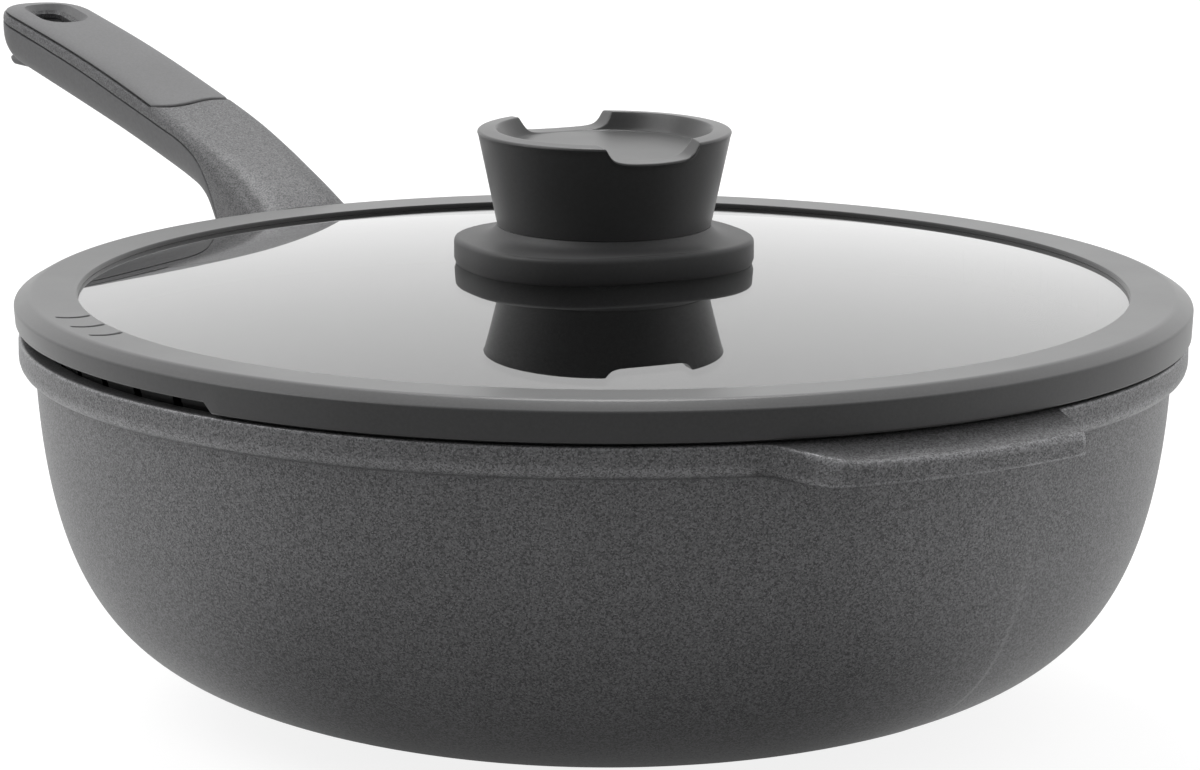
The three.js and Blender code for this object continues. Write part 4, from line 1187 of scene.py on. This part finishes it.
class WOK_OT_lid(bpy.types.Operator):
    """Make the domed glass and its soft ring"""
    bl_idname = "wok.lid"
    bl_label = "Lid"

    def execute(self, context):
        size = millimetres(context.scene.wok_lid)
        tone = context.scene.wok_colours
        clear = glass_finish("toughened_glass", tone.glass)
        glass = skin("domed_glass", glass_surface(size), loop_rows=True, loop_columns=True)
        settle(glass, clear, "lid", "lid_glass", "lid_glass")
        # the ring's colour carries painted shade on the plug under the skirt and on the lip at the glass
        soft = moulded_finish("ring_silicone", tone.ring, roughness=0.34, specular=0.4, grain=1200,
                              sheen=0.3, inner=[PLUG_PAINTED_SHADE, LIP_PAINTED_SHADE])
        ring = skin("soft_ring", ring_surface(size), loop_rows=True, loop_columns=True)
        settle(ring, soft, "lid", "lid_silicone", "lid_ring")
        return {"FINISHED"}


class WOK_OT_knob(bpy.types.Operator):
    """Make the knob cup with its spoon channel and the oblong foot"""
    bl_idname = "wok.knob"
    bl_label = "Knob"

    def execute(self, context):
        size = millimetres(context.scene.wok_lid)
        tone = context.scene.wok_colours
        hard = moulded_finish("knob_plastic", tone.knob, roughness=0.34, specular=0.5, sheen=0.2)
        cup = skin("knob", cup_surface(size), loop_rows=True)
        settle(cup, hard, "lid", "knob_plastic", "knob_cup")
        soft = moulded_finish("foot_silicone", tone.foot, roughness=0.5, specular=0.5, grain=1200,
                              sheen=0.15)
        foot = skin("knob_plate", foot_surface(size), loop_rows=True, loop_columns=True)
        settle(foot, soft, "lid", "foot_silicone", "knob_foot")
        return {"FINISHED"}


class WOK_OT_knob_fixing(bpy.types.Operator):
    """Make the washers and the screw under the glass"""
    bl_idname = "wok.knob_fixing"
    bl_label = "Knob fixing"

    def execute(self, context):
        tone = context.scene.wok_colours
        steel = metal_finish("fixing_steel", tone.steel, roughness=0.3)
        soft = moulded_finish("washer_silicone", tone.ring, roughness=0.6, specular=0.35, grain=1200)
        points = washer_surface(inner=2.8, outer=9, bottom=104.8, top=106.5)
        pad = skin("washer_soft", points, loop_rows=True, loop_columns=True)
        settle(pad, soft, "knob_fixing", "lid_silicone", "soft_washer")
        points = washer_surface(inner=2.8, outer=8, bottom=103.5, top=104.6)
        disc = skin("washer_steel", points, loop_rows=True, loop_columns=True)
        settle(disc, steel, "knob_fixing", "fixing_steel", "steel_washer")
        points = screw_surface(shaft=2.5, head=4.6, head_bottom=100.2, head_top=103.3, tip=129.8)
        screw = skin("knob_screw_turned", points, loop_rows=True)
        settle(screw, steel, "knob_fixing", "fixing_steel", "knob_screw")
        return {"FINISHED"}


class WOK_OT_inner_parts(bpy.types.Operator):
    """Give the hidden parts of the frame their finishes"""
    bl_idname = "wok.inner_parts"
    bl_label = "Inner parts"

    def execute(self, context):
        tone = context.scene.wok_colours
        steel = metal_finish("strap_steel", tone.steel, roughness=0.36)
        brass = metal_finish("insert_brass", tone.brass, roughness=0.32)
        soft = moulded_finish("sleeve_silicone", tone.ring, roughness=0.6, specular=0.35, grain=1200)
        finishes = {"handle_core": steel, "lug_screw_1": steel, "lug_screw_2": steel,
                    "knob_insert": brass, "glass_sleeve": soft}
        for node, finish in finishes.items():
            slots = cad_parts[node].data.materials
            slots.clear()
            slots.append(finish)
        return {"FINISHED"}


class WOK_OT_stage(bpy.types.Operator):
    """Set the camera, the soft light, the pale floor and the white surround"""
    bl_idname = "wok.stage"
    bl_label = "Stage"

    def execute(self, context):
        context.scene.view_settings.view_transform = "Standard"
        make_camera(context.scene)
        make_surround(context.scene)
        make_floor()
        make_lamp("lamp_left", (-0.5, -1.1, 1.5), width=1.2, watts=9)
        make_lamp("lamp_back", (-0.67, 0.44, 1.48), width=0.5, watts=6)
        return {"FINISHED"}


class VIEW3D_PT_wok(bpy.types.Panel):
    """Sizes, colours and steps of the wok"""
    bl_label = "Wok"
    bl_space_type = "VIEW_3D"
    bl_region_type = "UI"
    bl_category = "Wok"

    def draw(self, context):
        for step in STEPS:
            self.layout.operator(step.bl_idname)
        for name in GROUPS:
            box = self.layout.box()
            group = getattr(context.scene, name)
            for entry in group.__annotations__:
                box.prop(group, entry)


STEPS = (WOK_OT_pan, WOK_OT_base_plate, WOK_OT_handle, WOK_OT_grip_pad, WOK_OT_handle_screws, WOK_OT_lid,
         WOK_OT_knob, WOK_OT_knob_fixing, WOK_OT_inner_parts, WOK_OT_stage)
GROUPS = {"wok_pan": WokPanSizes, "wok_lid": WokLidSizes, "wok_handle": WokHandleSizes,
          "wok_colours": WokColours}


def register():
    for made in (*GROUPS.values(), *STEPS, VIEW3D_PT_wok):
        bpy.utils.register_class(made)
    for name, group in GROUPS.items():
        setattr(bpy.types.Scene, name, PointerProperty(type=group))


def unregister():
    for name in GROUPS:
        delattr(bpy.types.Scene, name)
    for made in (VIEW3D_PT_wok, *reversed(STEPS), *reversed(GROUPS.values())):
        bpy.utils.unregister_class(made)


def main():
    """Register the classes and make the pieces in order."""
    register()
    bpy.ops.wok.pan()
    bpy.ops.wok.base_plate()
    bpy.ops.wok.handle()
    bpy.ops.wok.grip_pad()
    bpy.ops.wok.handle_screws()
    bpy.ops.wok.lid()
    bpy.ops.wok.knob()
    bpy.ops.wok.knob_fixing()
    bpy.ops.wok.inner_parts()
    bpy.ops.wok.stage()


if __name__ == "__main__":
    main()
